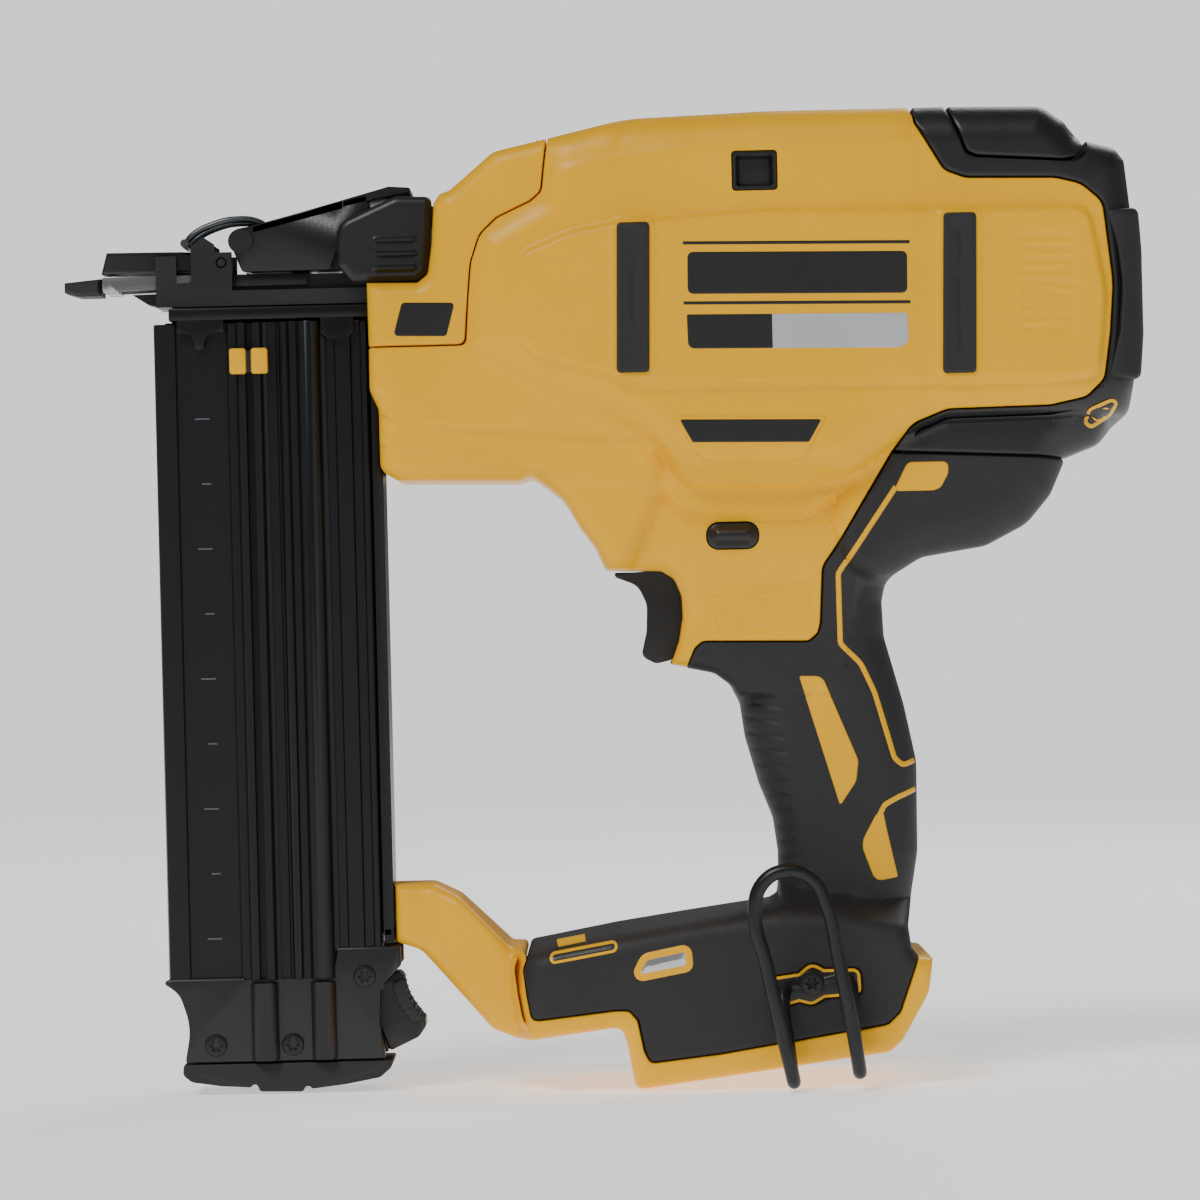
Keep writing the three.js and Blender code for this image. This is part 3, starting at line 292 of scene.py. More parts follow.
def triangulated(outline, extra, grid, holes=()):
    """Triangles over a region from its outline, holes, extra points and a grid of points."""
    low = outline.min(0)
    high = outline.max(0)
    rows = np.arange(low[1], high[1], grid * 0.866)
    columns = np.arange(low[0], high[0], grid)
    lattice = np.array([[x + (grid / 2 if i % 2 else 0), z] for i, z in enumerate(rows) for x in columns])
    lattice = lattice[distance(lattice, outline) < -grid * 0.55]
    for hole in holes:
        lattice = lattice[distance(lattice, hole) > grid * 0.5]
        if len(extra):
            extra = extra[distance(extra, hole) > 0.3]
    cells = {}
    closest = 0.34
    for p in list(extra) + list(lattice):
        cells.setdefault((round(p[0] / closest), round(p[1] / closest)), p)
    inner = np.array(list(cells.values()))
    if len(extra):
        reach = 0.9
        crowded = {(p[0] // reach, p[1] // reach) for p in extra}
        dropped = {tuple(p) for p in lattice if (p[0] // reach, p[1] // reach) in crowded}
        inner = np.array([p for p in inner if tuple(p) not in dropped])
    loops = [outline] + list(holes)
    points = np.concatenate(loops + [inner])
    edges = []
    start = 0
    for loop in loops:
        n = len(loop)
        edges += [(start + k, start + (k + 1) % n) for k in range(n)]
        start += n
    made, _, faces, *_ = geometry.delaunay_2d_cdt([Vector(p) for p in points], edges, [], 1, 1e-5)
    made = np.array([tuple(p) for p in made])
    faces = np.array([tuple(f) for f in faces])
    centres = made[faces].mean(1)
    keep = distance(centres, outline) < 0
    for hole in holes:
        keep &= distance(centres, hole) > 0
    faces = faces[keep]
    corner = made[faces]
    turn = np.cross(corner[:, 1] - corner[:, 0], corner[:, 2] - corner[:, 0])
    faces = np.where((turn > 0)[:, None], faces, faces[:, ::-1])
    used = np.unique(faces)
    remap = -np.ones(len(made), int)
    remap[used] = np.arange(len(used))
    return made[used], remap[faces]


def half_shell(outline, height, extra=(), grid=1.6, holes=(), joint=None, wall=WALL,
               rings=(0.35, 0.9, 1.8, 3.0, 4.6, 6.4)):
    """A hollow left half: its outside is y = -height(points), and its rim meets y = -joint(points)."""
    outline = divided(outline, 0.9)
    holes = [divided(h, 0.6) for h in holes]
    inward = [contour(outline, [-d for d in rings], outline, 0.2)]
    points, faces = triangulated(outline, np.concatenate(inward + list(extra)), grid, holes)
    n = len(points)
    front = height(points)
    inset = -distance(points, outline)
    eps = 0.05
    gx = distance(points + [eps, 0], outline) - distance(points - [eps, 0], outline)
    gz = distance(points + [0, eps], outline) - distance(points - [0, eps], outline)
    gradient = np.stack([gx, gz], 1)
    gradient /= np.maximum(np.linalg.norm(gradient, axis=1)[:, None], 1e-9)
    push = wall * np.clip(1 - inset / 9, 0, 1)
    inner = points - gradient * push[:, None]
    seam = np.full(n, JOINT_GAP) if joint is None else joint(points)
    back = np.maximum(front - wall, seam + 0.3)
    vertices = [np.column_stack([points[:, 0], -front, points[:, 1]]),
                np.column_stack([inner[:, 0], -back, inner[:, 1]])]
    quads = faces.tolist() + (faces[:, ::-1] + n).tolist()
    edges = {}
    for a, b, c in faces:
        for e in ((a, b), (b, c), (c, a)):
            edges[e] = True
    rim = [e for e in edges if (e[1], e[0]) not in edges]
    hole_vertices = set()
    for hole in holes:
        hole_vertices |= set(np.where(np.abs(distance(points, hole)) < 0.02)[0].tolist())
    seam_at = {}
    joint_points = []
    for e in rim:
        if e[0] in hole_vertices and e[1] in hole_vertices:
            quads.append((int(e[1]), int(e[0]), int(e[0]) + n, int(e[1]) + n))
            continue
        for k in e:
            if k not in seam_at:
                seam_at[k] = 2 * n + len(joint_points)
                joint_points.append([points[k, 0], -seam[k], points[k, 1]])
                joint_points.append([inner[k, 0], -seam[k], inner[k, 1]])
        a, b = int(e[0]), int(e[1])
        quads.append((b, a, seam_at[a], seam_at[b]))
        quads.append((seam_at[b], seam_at[a], seam_at[a] + 1, seam_at[b] + 1))
        quads.append((seam_at[b] + 1, seam_at[a] + 1, a + n, b + n))
    if joint_points:
        vertices.append(np.array(joint_points))
    return np.concatenate(vertices), quads


def flipped(vertices, faces):
    """The same shape on the right-hand side."""
    other = np.array(vertices)
    other[:, 1] *= -1
    return other, [tuple(reversed(f)) for f in faces]


def both(shape):
    """A left half and its mirror image as one shape."""
    v, f = shape
    w, g = flipped(v, f)
    return np.concatenate([v, w]), list(f) + [tuple(k + len(v) for k in face) for face in g]


def patch(outline, height, lift, depth, edge=0.3, grid=2.0, rim=(0.25, 0.6, 1.1)):
    """A thin plate on the side face, a lift above the height field, with its rim rounded over."""
    outline = divided(outline, 0.9)
    points, faces = triangulated(outline, contour(outline, [-d for d in rim], outline, 0.1), grid)
    inset = -distance(points, outline)
    top = height(points) + lift - drop(edge, np.minimum(inset, edge))
    base = height(points) - depth
    n = len(points)
    vertices = np.concatenate([np.column_stack([points[:, 0], -y, points[:, 1]]) for y in (top, base)])
    quads = faces.tolist() + (faces[:, ::-1] + n).tolist()
    edges = {(a, b) for f in faces.tolist() for a, b in ((f[0], f[1]), (f[1], f[2]), (f[2], f[0]))}
    quads += [(b, a, a + n, b + n) for a, b in edges if (b, a) not in edges]
    return vertices, quads


# ---- The side of the tool as a height over the joint plane ---------------------------------------
# Stretches that the whole silhouette shares with its pieces, as corners [x, z, radius]
FRONT_BROW = [
    [-52, 229.8, 1], [-49, 232.2, 2], [-47.7, 240.7], [-46.9, 252.3], [-45.1, 254.8, 1],
    [-42.2, 255.8, 3], [-29.6, 266.3, 6],
]
CAP_BACK = [
    [146.5, 263.3, 4], [149.4, 259.5, 3], [150.4, 250, 4], [150.8, 246], [150.8, 197], [149.3, 188, 5],
    [140.7, 179.2, 6],
]
GRIP_BACK = [
    [126.9, 165.4, 10], [120, 157.3, 12], [108, 151.2, 10], [89.6, 148.4, 8], [80, 142.6, 8],
    [78.6, 136, 8], [79, 126, 10], [84.3, 106.2, 20], [87.5, 90, 20], [87.2, 64, 20], [85, 51.4, 4],
    [82.7, 43.9, 3], [83.3, 37.5, 2],
]
FOOT_UNDER = [
    [89.2, 35.2, 0.5], [87.7, 25.4, 8], [80, 12.1, 5], [76.3, 9, 3], [5.4, 0.1, 1], [4.2, 1.6, 1],
    [2.2, 13.3, 1], [1.1, 17, 2], [-1.4, 17.6, 2], [-28.4, 14, 5], [-36, 17, 5], [-56, 39.5, 6],
    [-63.3, 42], [-63.3, 58.5], [-51.9, 58.5, 6], [-44.5, 54.7, 6], [-30.2, 40.4, 3],
]
GRIP_FRONT = [
    [1, 44.2], [29.4, 48.1], [45.3, 50.2, 1.5], [47.2, 52, 1], [47.2, 64.9, 12], [46, 74.5, 12],
    [42.1, 84.8, 14], [38.5, 98, 12], [37.2, 108, 8], [34.8, 113, 5], [29.8, 116.8, 5],
]
UNDERSIDE = [
    [17.6, 119.6], [20, 126.1, 6], [21.2, 133, 8], [21, 139, 6], [19, 144, 4], [15.4, 146.3, 2],
    [-0.5, 147, 1], [-3.2, 153.3, 4], [-7.4, 159.1, 6], [-11.9, 167, 8], [-16, 170.5, 4], [-21, 174.1, 3],
    [-24.7, 172.7, 4], [-58.7, 173.6, 4], [-63.9, 176.8, 4], [-63.9, 194.1, 2], [-66.3, 199.5, 4],
]
BODY = rounded([
    [-66.4, 230], *FRONT_BROW, [-14, 269.7, 20], [9.5, 274.9, 30], [46, 276.1, 40], [100, 276.1],
    [126, 275.6, 5], [132.5, 271, 4], [135.6, 266.2, 3], *CAP_BACK, [131.4, 175.6, 3], *GRIP_BACK,
    [85.4, 35.7, 1], *FOOT_UNDER, [-25, 39.4, 3], *GRIP_FRONT, [21.9, 118.7], *UNDERSIDE,
])
BARREL = rounded([
    [-38.6, 210, 3], [-38, 232, 6], [-34.5, 243.5, 5], [-17, 253, 3], [-14, 290], [170, 290], [170, 186],
    [128, 188, 14], [95, 187.4, 12], [86, 183.5, 8], [70, 172, 14], [24, 172, 12], [8, 187.4, 12],
    [-20, 199, 12],
])
FRONT = rounded([
    [-80, 300], [-80, 160], [-24, 160], [-10, 150], [4, 140], [16, 170, 10], [16, 232], [8, 244],
    [8, 300],
])
NECK = rounded([[-22, 168], [-6, 140], [10, 110], [66, 110], [72, 146], [96, 180], [96, 215], [-20, 215]])
HANDLE = rounded([[10, 124], [20, 100], [30, 30], [105, 30], [105, 150], [60, 150], [58, 128]])
POD = rounded([[70, 144, 6], [84, 143, 6], [98, 147], [140, 140], [145, 200], [76, 200], [64, 158, 8]])
FOOT = rounded([
    [-26.4, 40.5, 3], [-27.4, 28, 3], [-25.4, 13], [0, 13], [4, -6], [105, 4], [105, 33], [86, 38, 3],
    [82, 45.4, 4], [62, 49.4, 4], [45.5, 50.8, 3], [20, 47.6], [-22, 40.6],
])
ARM = rounded([[-80, 70], [-80, 30], [-30, 5], [10, 5], [10, 60], [-40, 70]])
CAPSULE = rounded([
    [-26.5, 225, 14], [-23.5, 237.5, 8], [-8.6, 243.6, 10], [4.5, 245.9, 20], [45.6, 248.6, 60],
    [139, 247.4, 7], [143.6, 222, 30], [141, 197.6, 6], [126.4, 196.2, 10], [10.4, 197.1, 6],
    [3.4, 199.8, 6], [-19.5, 206, 8], [-25.6, 212.1, 7],
])
STRIPS = [
    rounded([[4, 202.3, 1], [13, 202.3, 1], [14, 244.5, 1], [5, 244.5, 1]]),
    rounded([[95.8, 200, 1], [105, 200, 1], [106, 245, 1], [97, 245, 1]]),
]
SHIELD = rounded([
    [4.2, 186.2, 3], [10.9, 171, 6], [19.4, 161.4, 6], [27.3, 159.8, 5], [56, 159.8, 6], [66.4, 164.6, 5],
    [80, 186, 4], [80, 200], [6, 200],
])
SHIELD_FACE = rounded([
    [11, 196, 2], [19.4, 174, 4], [24.8, 169.6, 4], [57, 169.2, 4], [61.6, 172.4, 4], [72.6, 191, 4],
    [72.6, 200], [11, 200],
])


def smooth_max(a, b, k):
    """The larger of two heights, blended where they lie within k of each other."""
    gap = np.maximum(k - np.abs(a - b), 0) / k
    return np.maximum(a, b) + gap * gap * k / 4


def across_line(points, line):
    """Height of points above a line that runs along X."""
    line = np.array(line, float)
    return points[:, 1] - np.interp(points[:, 0], line[:, 0], line[:, 1])


def side(points):
    """Half width of the housing, rubber and cap over points of the X-Z plane, seen from the joint plane."""
    rim = -distance(points, BODY)
    x, z = points.T

    def region(outline, width, rim_radius, edge_radius):
        inset = -distance(points, outline)
        level = width - drop(rim_radius, np.clip(rim, 0, None)) - drop(edge_radius, np.clip(inset, 0, None))
        return np.where(inset > 0, level, level + inset * 3)

    barrel_width = BARREL_W - 1.0 * smooth((x - 86) / 6)
    total = region(BARREL, barrel_width, 11, 9)
    rise = smooth(-distance(points, CAPSULE) / 2.6)
    total = total + PANEL_RISE * rise
    for strip in STRIPS:
        around = distance(points, strip)
        total = total + 0.5 * smooth((2.2 - around) / 0.9) * (around > -4)
    ridge = np.interp(x, [-38.6, -15, 23.7, 88.5, 200], [256, 260, 266.7, 267.1, 267.1])
    total = total - 0.9 * smooth((z - ridge + 1.5) / 3) * (x < 89)
    front = region(FRONT, FRONT_W, 5, 6)
    front = front + 2.2 * smooth((x + 52) / 30) * smooth((z - 180) / 20)
    low_step = across_line(points, [[-66, 195.4], [-58.8, 190.8], [-23, 187.4], [20, 184]])
    lower_step = across_line(points, [[-66, 186], [-58.5, 183.2], [-21.8, 176.6], [0, 172]])
    front = front - 1.5 * smooth(-low_step / 1.8) - 1.3 * smooth(-lower_step / 1.8)
    total = smooth_max(total, front, 5)
    neck_width = NECK_LOW_W + (NECK_W - NECK_LOW_W) * smooth((z - 126) / 34)
    neck = region(NECK, neck_width, 4, 2)
    shield = -distance(points, SHIELD)
    neck = neck + 3.2 * smooth(shield / 3.2)
    total = smooth_max(total, neck, 6)
    face = -distance(points, SHIELD_FACE)
    plate = 29.6 + 0.11 * (z - 170) - drop(3, np.clip(face, 0, None)) + 4 * np.minimum(face, 0)
    total = np.where(face > -4, smooth_max(total, plate, 3), total)
    total = smooth_max(total, region(HANDLE, HANDLE_W, 13, 5), 2.5)
    total = smooth_max(total, region(POD, POD_W, 10, 5), 5)
    arm_width = ARM_W + ARM_FLARE * smooth((x + 56) / 28)
    total = smooth_max(total, region(ARM, arm_width, 4, 2), 1.5)
    total = smooth_max(total, region(FOOT, FOOT_W - 1.2, 2.6, 7), 1.0)
    return np.maximum(total, 2.2)


# ---- Pieces of the side --------------------------------------------------------------------------
UPPER = rounded([
    [-14, 269.7], [9.5, 274.9, 30], [46, 276.1, 40], [88.4, 275.9, 1], [89.4, 271, 3], [97.5, 257.3, 5],
    [103.5, 255, 8], [129, 254.4, 12], [136, 252.6, 8], [142, 247.4, 6], [144.5, 224.7, 30],
    [143.4, 211, 20], [141.4, 197.6, 5], [136.3, 192.7, 5], [126.3, 190.7, 8], [97.1, 190.3, 8],
    [87.1, 186.4, 8], [81.2, 178.6, 8], [64.6, 151.6, 14], [61, 146.6, 6], [60.2, 130.8, 8],
    [59.4, 127.7, 2], [56.8, 125.5, 2], [26.5, 126.2, 3], [24.2, 124.1, 2], [21.9, 118.7], *UNDERSIDE,
    [-66.2, 211.4, 0.5], [-38.4, 211.4, 2], [-37.5, 224.3, 12], [-36.4, 235, 10], [-33.7, 242.6, 7],
    [-28.8, 247.2, 6], [-19.3, 251.5, 4], [-16, 254.3, 3], [-14.9, 263.4, 8],
])
COVER = rounded([
    [-66.4, 230.1], [-66.2, 211.9, 0.5], [-38.9, 211.9, 2], [-38, 224.3, 12], [-36.9, 235, 10],
    [-34.1, 242.9, 7], [-29.1, 247.6, 6], [-19.6, 251.9, 4], [-16.5, 254.5, 3], [-15.4, 263.4, 8],
    [-14.5, 269.6], *FRONT_BROW[::-1],
])
BAND = rounded([
    [-25, 39.4, 3], [-26.8, 34.5, 3], [-25.9, 27.4], [-24.6, 20, 2], [-0.7, 22.5], [3, 22.4, 2],
    [5.3, 19.7, 2], [6.9, 11.2], [8.6, 7.5, 2], [28.5, 9.6], [75.9, 16.8, 3.5], [79.6, 20.3, 3],
    [85.2, 35.8], *FOOT_UNDER,
])
GRIP = rounded([
    [21.9, 118.5, 0.4], *GRIP_FRONT[::-1], [-24.7, 39.6, 2], [-26.4, 34.3, 3], [-25.5, 27.4],
    [-24.3, 20.4, 2], [-0.7, 22.9], [3, 22.8, 2], [5.7, 20, 2], [7.3, 11.4], [8.8, 7.9, 2], [28.5, 10],
    [75.8, 17.2, 3], [79.3, 20.5, 3], [84.8, 35.7, 0.6], *GRIP_BACK[::-1], [131.2, 175.2, 1], [123, 176],
    [84, 178.1, 1], [81.6, 178.2, 1], [65, 151.4, 14], [61.4, 146.5, 6], [60.6, 130.8, 8],
    [59.7, 127.4, 2], [57, 125.1, 2], [26.4, 125.8, 3], [24.5, 123.8, 2],
])
CAP = rounded([
    [88.9, 275.9, 1], [98.2, 276.1, 0.5], [99.2, 273.9], [101.6, 268, 6], [103.8, 262.2, 2],
    [106.8, 260.9, 2], [131, 259.3, 3], [136, 259.4, 4.2], [138.3, 261.8, 4], [138.3, 265.4, 0.5],
    *CAP_BACK, [131.6, 175.7, 1], [123, 176.6], [84.4, 178.6, 1], [82, 178.9], [87.6, 186, 8],
    [97.2, 189.9, 8], [126.3, 190.3, 8], [136.5, 192.3, 5], [141.8, 197.4, 5], [143.8, 211, 20],
    [144.9, 224.7, 30], [142.4, 247.6, 6], [136.1, 253, 8], [129, 254.8, 12], [103.6, 255.4, 8],
    [97.9, 257.6, 5], [89.9, 271.1, 3],
])
STALL = rounded([
    [99, 275.9, 1], [99.7, 274], [102.1, 268.1, 6], [104.2, 262.7, 2], [106.9, 261.4, 2], [131, 259.8, 3],
    [135.4, 260.5, 2.4], [137.2, 263.6, 2], [136.4, 266, 1.6], [132.4, 271.1, 4], [126, 275.6, 5],
])
WINDOW = rounded([[37.6, 252.8, 1], [50.6, 252.8, 1], [50.6, 264.2, 1], [37.6, 264.2, 1]])
LOCK_OFF = rounded([[28.2, 151.9, 3.6], [43.4, 151.9, 3.6], [43.4, 159.9, 3.6], [28.2, 159.9, 3.6]])
LENS = rounded([[4.2, 31.3, 1.6], [20.6, 34.2, 1.6], [20.1, 40.2, 1.6], [7.6, 37.8, 3]])
HOOK_SLOT = rounded([
    [43.6, 22.2, 2], [51, 24], [54.6, 23, 3], [58.2, 25], [68.6, 25.6, 2], [68.2, 33, 2], [58.2, 33],
    [54.6, 35, 3], [51, 32], [43.2, 31, 2],
])
LOZENGE = rounded([
    [135.8, 185.3, 1.6], [137, 189.3, 2], [143.6, 192, 2], [145.6, 190.8, 1], [143.9, 187, 2],
    [138, 183.4, 2],
])


def joint_plane(points):
    """Where a half's rim stops short of the joint plane: the trigger's slot and the magazine's notch."""
    x, z = points.T
    trigger = (x > -3) & (x < 34) & (z > 117) & (z < 156)
    magazine = (x < -62.5) & (z > 160)
    return np.where(trigger, TRIGGER_SLOT_W, np.where(magazine, MAGAZINE_NOTCH_W, JOINT_GAP))


def edged(height, outline, radius=0.6):
    """The height field with the rim of one piece rounded over."""
    return lambda points: height(points) - drop(radius, np.clip(-distance(points, outline), 0, radius))


def grooves(height, lines, depth, width):
    """The height field with grooves along lines."""
    def cut(points):
        near = np.full(len(points), 9.0)
        for line in lines:
            near = np.minimum(near, distance(points, np.array(line, float), closed=False))
        return height(points) - depth * (1 - smooth(near / width))
    return cut


VENTS = [[[119, z], [132.5, z - 0.4]] for z in np.linspace(212, 238, 9)]
CHEEK_RIBS = [[[30 + 0.2 * i, 140.5 - 1.9 * i], [57 + 0.1 * i, 142.2 - 1.9 * i]] for i in range(7)]
GRIP_RIBS = [[[38.6 + 0.035 * i * i, 108.4 - 4.3 * i], [48.5 + 0.3 * i, 106.6 - 4.3 * i]]
             for i in range(11)]
STEP_LINES = [[[-65, 194.6], [-58.8, 190.4], [-23, 187], [0, 185.6]], [[-58.5, 183.2], [-21.8, 176.6]]]


def along(line, offsets, step=0.8):
    """Points beside an open line, so that the mesh has detail where a groove runs."""
    line = np.array(line, float)
    out = []
    for a, b in zip(line[:-1], line[1:]):
        steps = max(2, int(np.linalg.norm(b - a) / step))
        t = np.linspace(0, 1, steps)[:, None]
        normal = np.array([-(b - a)[1], (b - a)[0]]) / np.linalg.norm(b - a)
        out += [a + (b - a) * t + normal * o for o in offsets]
    return np.concatenate(out)


def inside(points, outline, margin=0.4):
    """The points that lie inside an outline by more than a margin."""
    return points[distance(points, outline) < -margin]


def upper_shell():
    """The yellow half from the nose to the grip, with its raised panel, steps, vents and ribs."""
    detail = [contour(line, offsets, UPPER) for line, offsets in (
        (CAPSULE, [0, -0.7, -1.3, -2, -2.7]), (BARREL, [-0.3, -1.2, -2.6, -4.6, -7]),
        (SHIELD, [0, -1, -2, -3.2]), (SHIELD_FACE, [0.6, 0, -0.8, -1.8, -3]))]
    detail += [contour(strip, [2.3, 1.7, 1.2, 0.6, 0], UPPER) for strip in STRIPS]
    detail += [inside(along(line, (-1.6, -0.8, 0, 0.8, 1.6)), UPPER) for line in STEP_LINES]
    detail += [inside(along(line, (-0.8, -0.4, 0, 0.4, 0.8)), UPPER) for line in VENTS + CHEEK_RIBS]
    height = grooves(grooves(side, VENTS, 0.55, 1.2), CHEEK_RIBS, 0.4, 0.8)
    return half_shell(UPPER, edged(height, UPPER, 0.5), detail, 2.0, (WINDOW, LOCK_OFF), joint_plane,
                      rings=RINGS)


def plain_shell(outline, rim=0.5):
    """A half shell under one outline with nothing but its rounded rim."""
    return half_shell(outline, edged(side, outline, rim), [], 2.0, (), joint_plane, rings=RINGS)


def grip_shell():
    """The black half of the handle and foot, with finger ribs and a sunk seat for the hook."""
    height = grooves(side, GRIP_RIBS, 0.5, 1.1)

    def seated(points):
        around = distance(points, HOOK_SLOT)
        return height(points) - 0.9 * (1 - smooth(around / 0.8)) * (around < 0.8)

    detail = [inside(along(line, (-1.2, -0.6, 0, 0.6, 1.2)), GRIP) for line in GRIP_RIBS]
    detail += [contour(HOOK_SLOT, [1.2, 0.8, 0.4, 0, -0.5], GRIP), contour(POD, [-1, -3, -5], GRIP),
               contour(FOOT, [0.3, -0.5, -1.2, -2.2, -3.5], GRIP)]
    return half_shell(GRIP, edged(seated, GRIP, 0.7), detail, 1.8, (LENS,), joint_plane,
                      rings=(0.3, 0.8, 1.6, 2.8, 4.4, 6.4, 9, 12))


def pair(name, shape, mat, slot, node=""):
    """A left-hand piece and its mirror image, each standing for its own CAD node if it has one."""
    for hand, turned in (("left", shape), ("right", flipped(*shape))):
        finished(f"{name}_{hand}", *turned, mat, "tool", [f"{node}_{hand}"] if node else [], slot)


def housing():
    """The moulded shells of the body."""
    pair("housing_shell", upper_shell(), YELLOW, "yellow_housing", "housing")
    pair("foot_band", plain_shell(BAND), YELLOW, "yellow_housing", "housing")
    pair("grip_overmould", grip_shell(), RUBBER, "black_rubber", "grip")
    finished("front_cover_shell", *both(plain_shell(COVER)), YELLOW, "tool", ["front_cover"],
             "yellow_housing")
    finished("rear_cap_shell", *both(plain_shell(CAP, 0.8)), BLACK, "tool", ["rear_cap"], "black_plastic")
    finished("stall_lever_hood", *both(plain_shell(STALL, 0.8)), BLACK, "stall_lever",
             ["stall_release_lever"], "black_plastic")


# ---- Trim on the side faces ----------------------------------------------------------------------
def ribbon(line, width):
    """The outline of a stripe of even width along an open line of [x, z] points."""
    line = np.array(line, float)
    step = np.gradient(line, axis=0)
    normal = np.stack([-step[:, 1], step[:, 0]], 1) / np.linalg.norm(step, axis=1)[:, None]
    return np.concatenate([line + normal * width / 2, (line - normal * width / 2)[::-1]])


def bend(corners):
    """An open line through corners [x, z, radius], with arcs at the corners."""
    first, last = np.array(corners[0][:2], float), np.array(corners[-1][:2], float)
    closing = [last + (last - first) * 0.01 + [0, -500], first + [0, -500]]
    points = rounded(list(corners) + [list(p) + [0] for p in closing])
    return points[:-2]


ACCENT_BLOCKS = [
    rounded([[81.6, 167.3, 1], [85.8, 175.5, 2], [97.4, 175.4, 2], [97.2, 172, 1.5], [95, 168, 2.5],
            [93, 167.3, 2]]),
    rounded([[53.8, 115.5, 0.5], [60.4, 115.3, 3], [70.2, 91, 4], [69.4, 85, 4], [64.7, 78.2, 0.4]]),
    rounded([[80.8, 57.4, 0.5], [74.2, 56.4, 2.5], [70.3, 67.2, 6], [74.9, 75.6, 4], [76.9, 76.4, 1],
            [77.8, 71.2, 8]]),
]
ACCENT_LINES = [
    bend([[82.3, 168.6, 0], [65.6, 144.4, 2], [65.8, 124.4, 2], [71.6, 118.6, 8], [75.3, 110.4, 10],
         [80.6, 91.4, 3], [83, 89.2, 2], [86.6, 90.4, 0]]),
    bend([[75.6, 74.8, 0], [77.4, 78.2, 3], [81.4, 80.2, 6], [86.7, 82.2, 0]]),
]
PLATES = [
    ("name_bar_upper", [[23.4, 237.9], [87.2, 236.7], [87.2, 237.6], [23.4, 238.8]], PAINT_BLACK),
    ("name_bar_lower", [[23.2, 221], [87, 219.8], [87, 220.7], [23.2, 221.9]], PAINT_BLACK),
    ("name_plate_blank", [[24.4, 224, 1.5], [86.2, 222.8, 1.5], [86.4, 234.6, 1.5], [24.6, 235.8, 1.5]],
     PAINT_BLACK),
    ("series_strip_dark", [[24.2, 208.6, 1.8], [48, 208.2], [48, 217.8], [24, 218.2, 0.4]], PAINT_BLACK),
    ("series_strip_pale", [[48, 208.2], [84.4, 207.5, 2.4], [86.2, 209.5, 1.5], [86, 217.2, 0.4],
     [48, 217.8]], GREY),
    ("badge_blank", [[21.3, 188.8, 0.4], [61.3, 187.9, 0.4], [57.6, 181.6, 0.4], [24.8, 182.3, 0.4]],
     PAINT_BLACK),
    ("front_mark_blank", [[-59, 214.6, 1], [-44, 214.2, 1], [-41.4, 223.6, 1], [-56.4, 224, 1]],
     PAINT_BLACK),
]
BADGE_EDGE = rounded([
    [19.8, 189.8, 0.4], [62.8, 188.8, 0.4], [56.4, 177.4, 3], [53, 176.4, 2], [28.6, 177, 3],
    [25, 180, 2],
])
MODE_OVAL = rounded([[-19, 36.1, 1.7], [0.2, 39.3, 1.7], [0.2, 42.7, 1.7], [-19, 39.5, 1.7]])
BADGE_LIFT = 0.45
PAD = rounded([
    [142.6, 245.2, 1.5], [152.6, 245.8, 2], [153.8, 232, 20], [153.8, 212, 20], [152.2, 197.2, 2],
    [142.4, 197.8, 1.5], [145.9, 210, 20], [147.2, 224, 30], [145.8, 236, 20],
])

# name, outline, lift of the ring, its width, depth, edge radius, spacing of the mesh
INLAYS = [
    ("rear_slot", LOZENGE, 0.5, 0.9, 0.6, 0.2, 2.0),
    ("mode_slot", MODE_OVAL, 0.25, 0.8, 0.8, 0.1, 0.8),
    ("hook_slot", HOOK_SLOT, 0.2, 0.8, 0.8, 0.1, 2.0),
]


def grown(line, amount):
    """An outline moved outwards by an amount, for lines without tight inner corners."""
    return line + outward(line) * amount


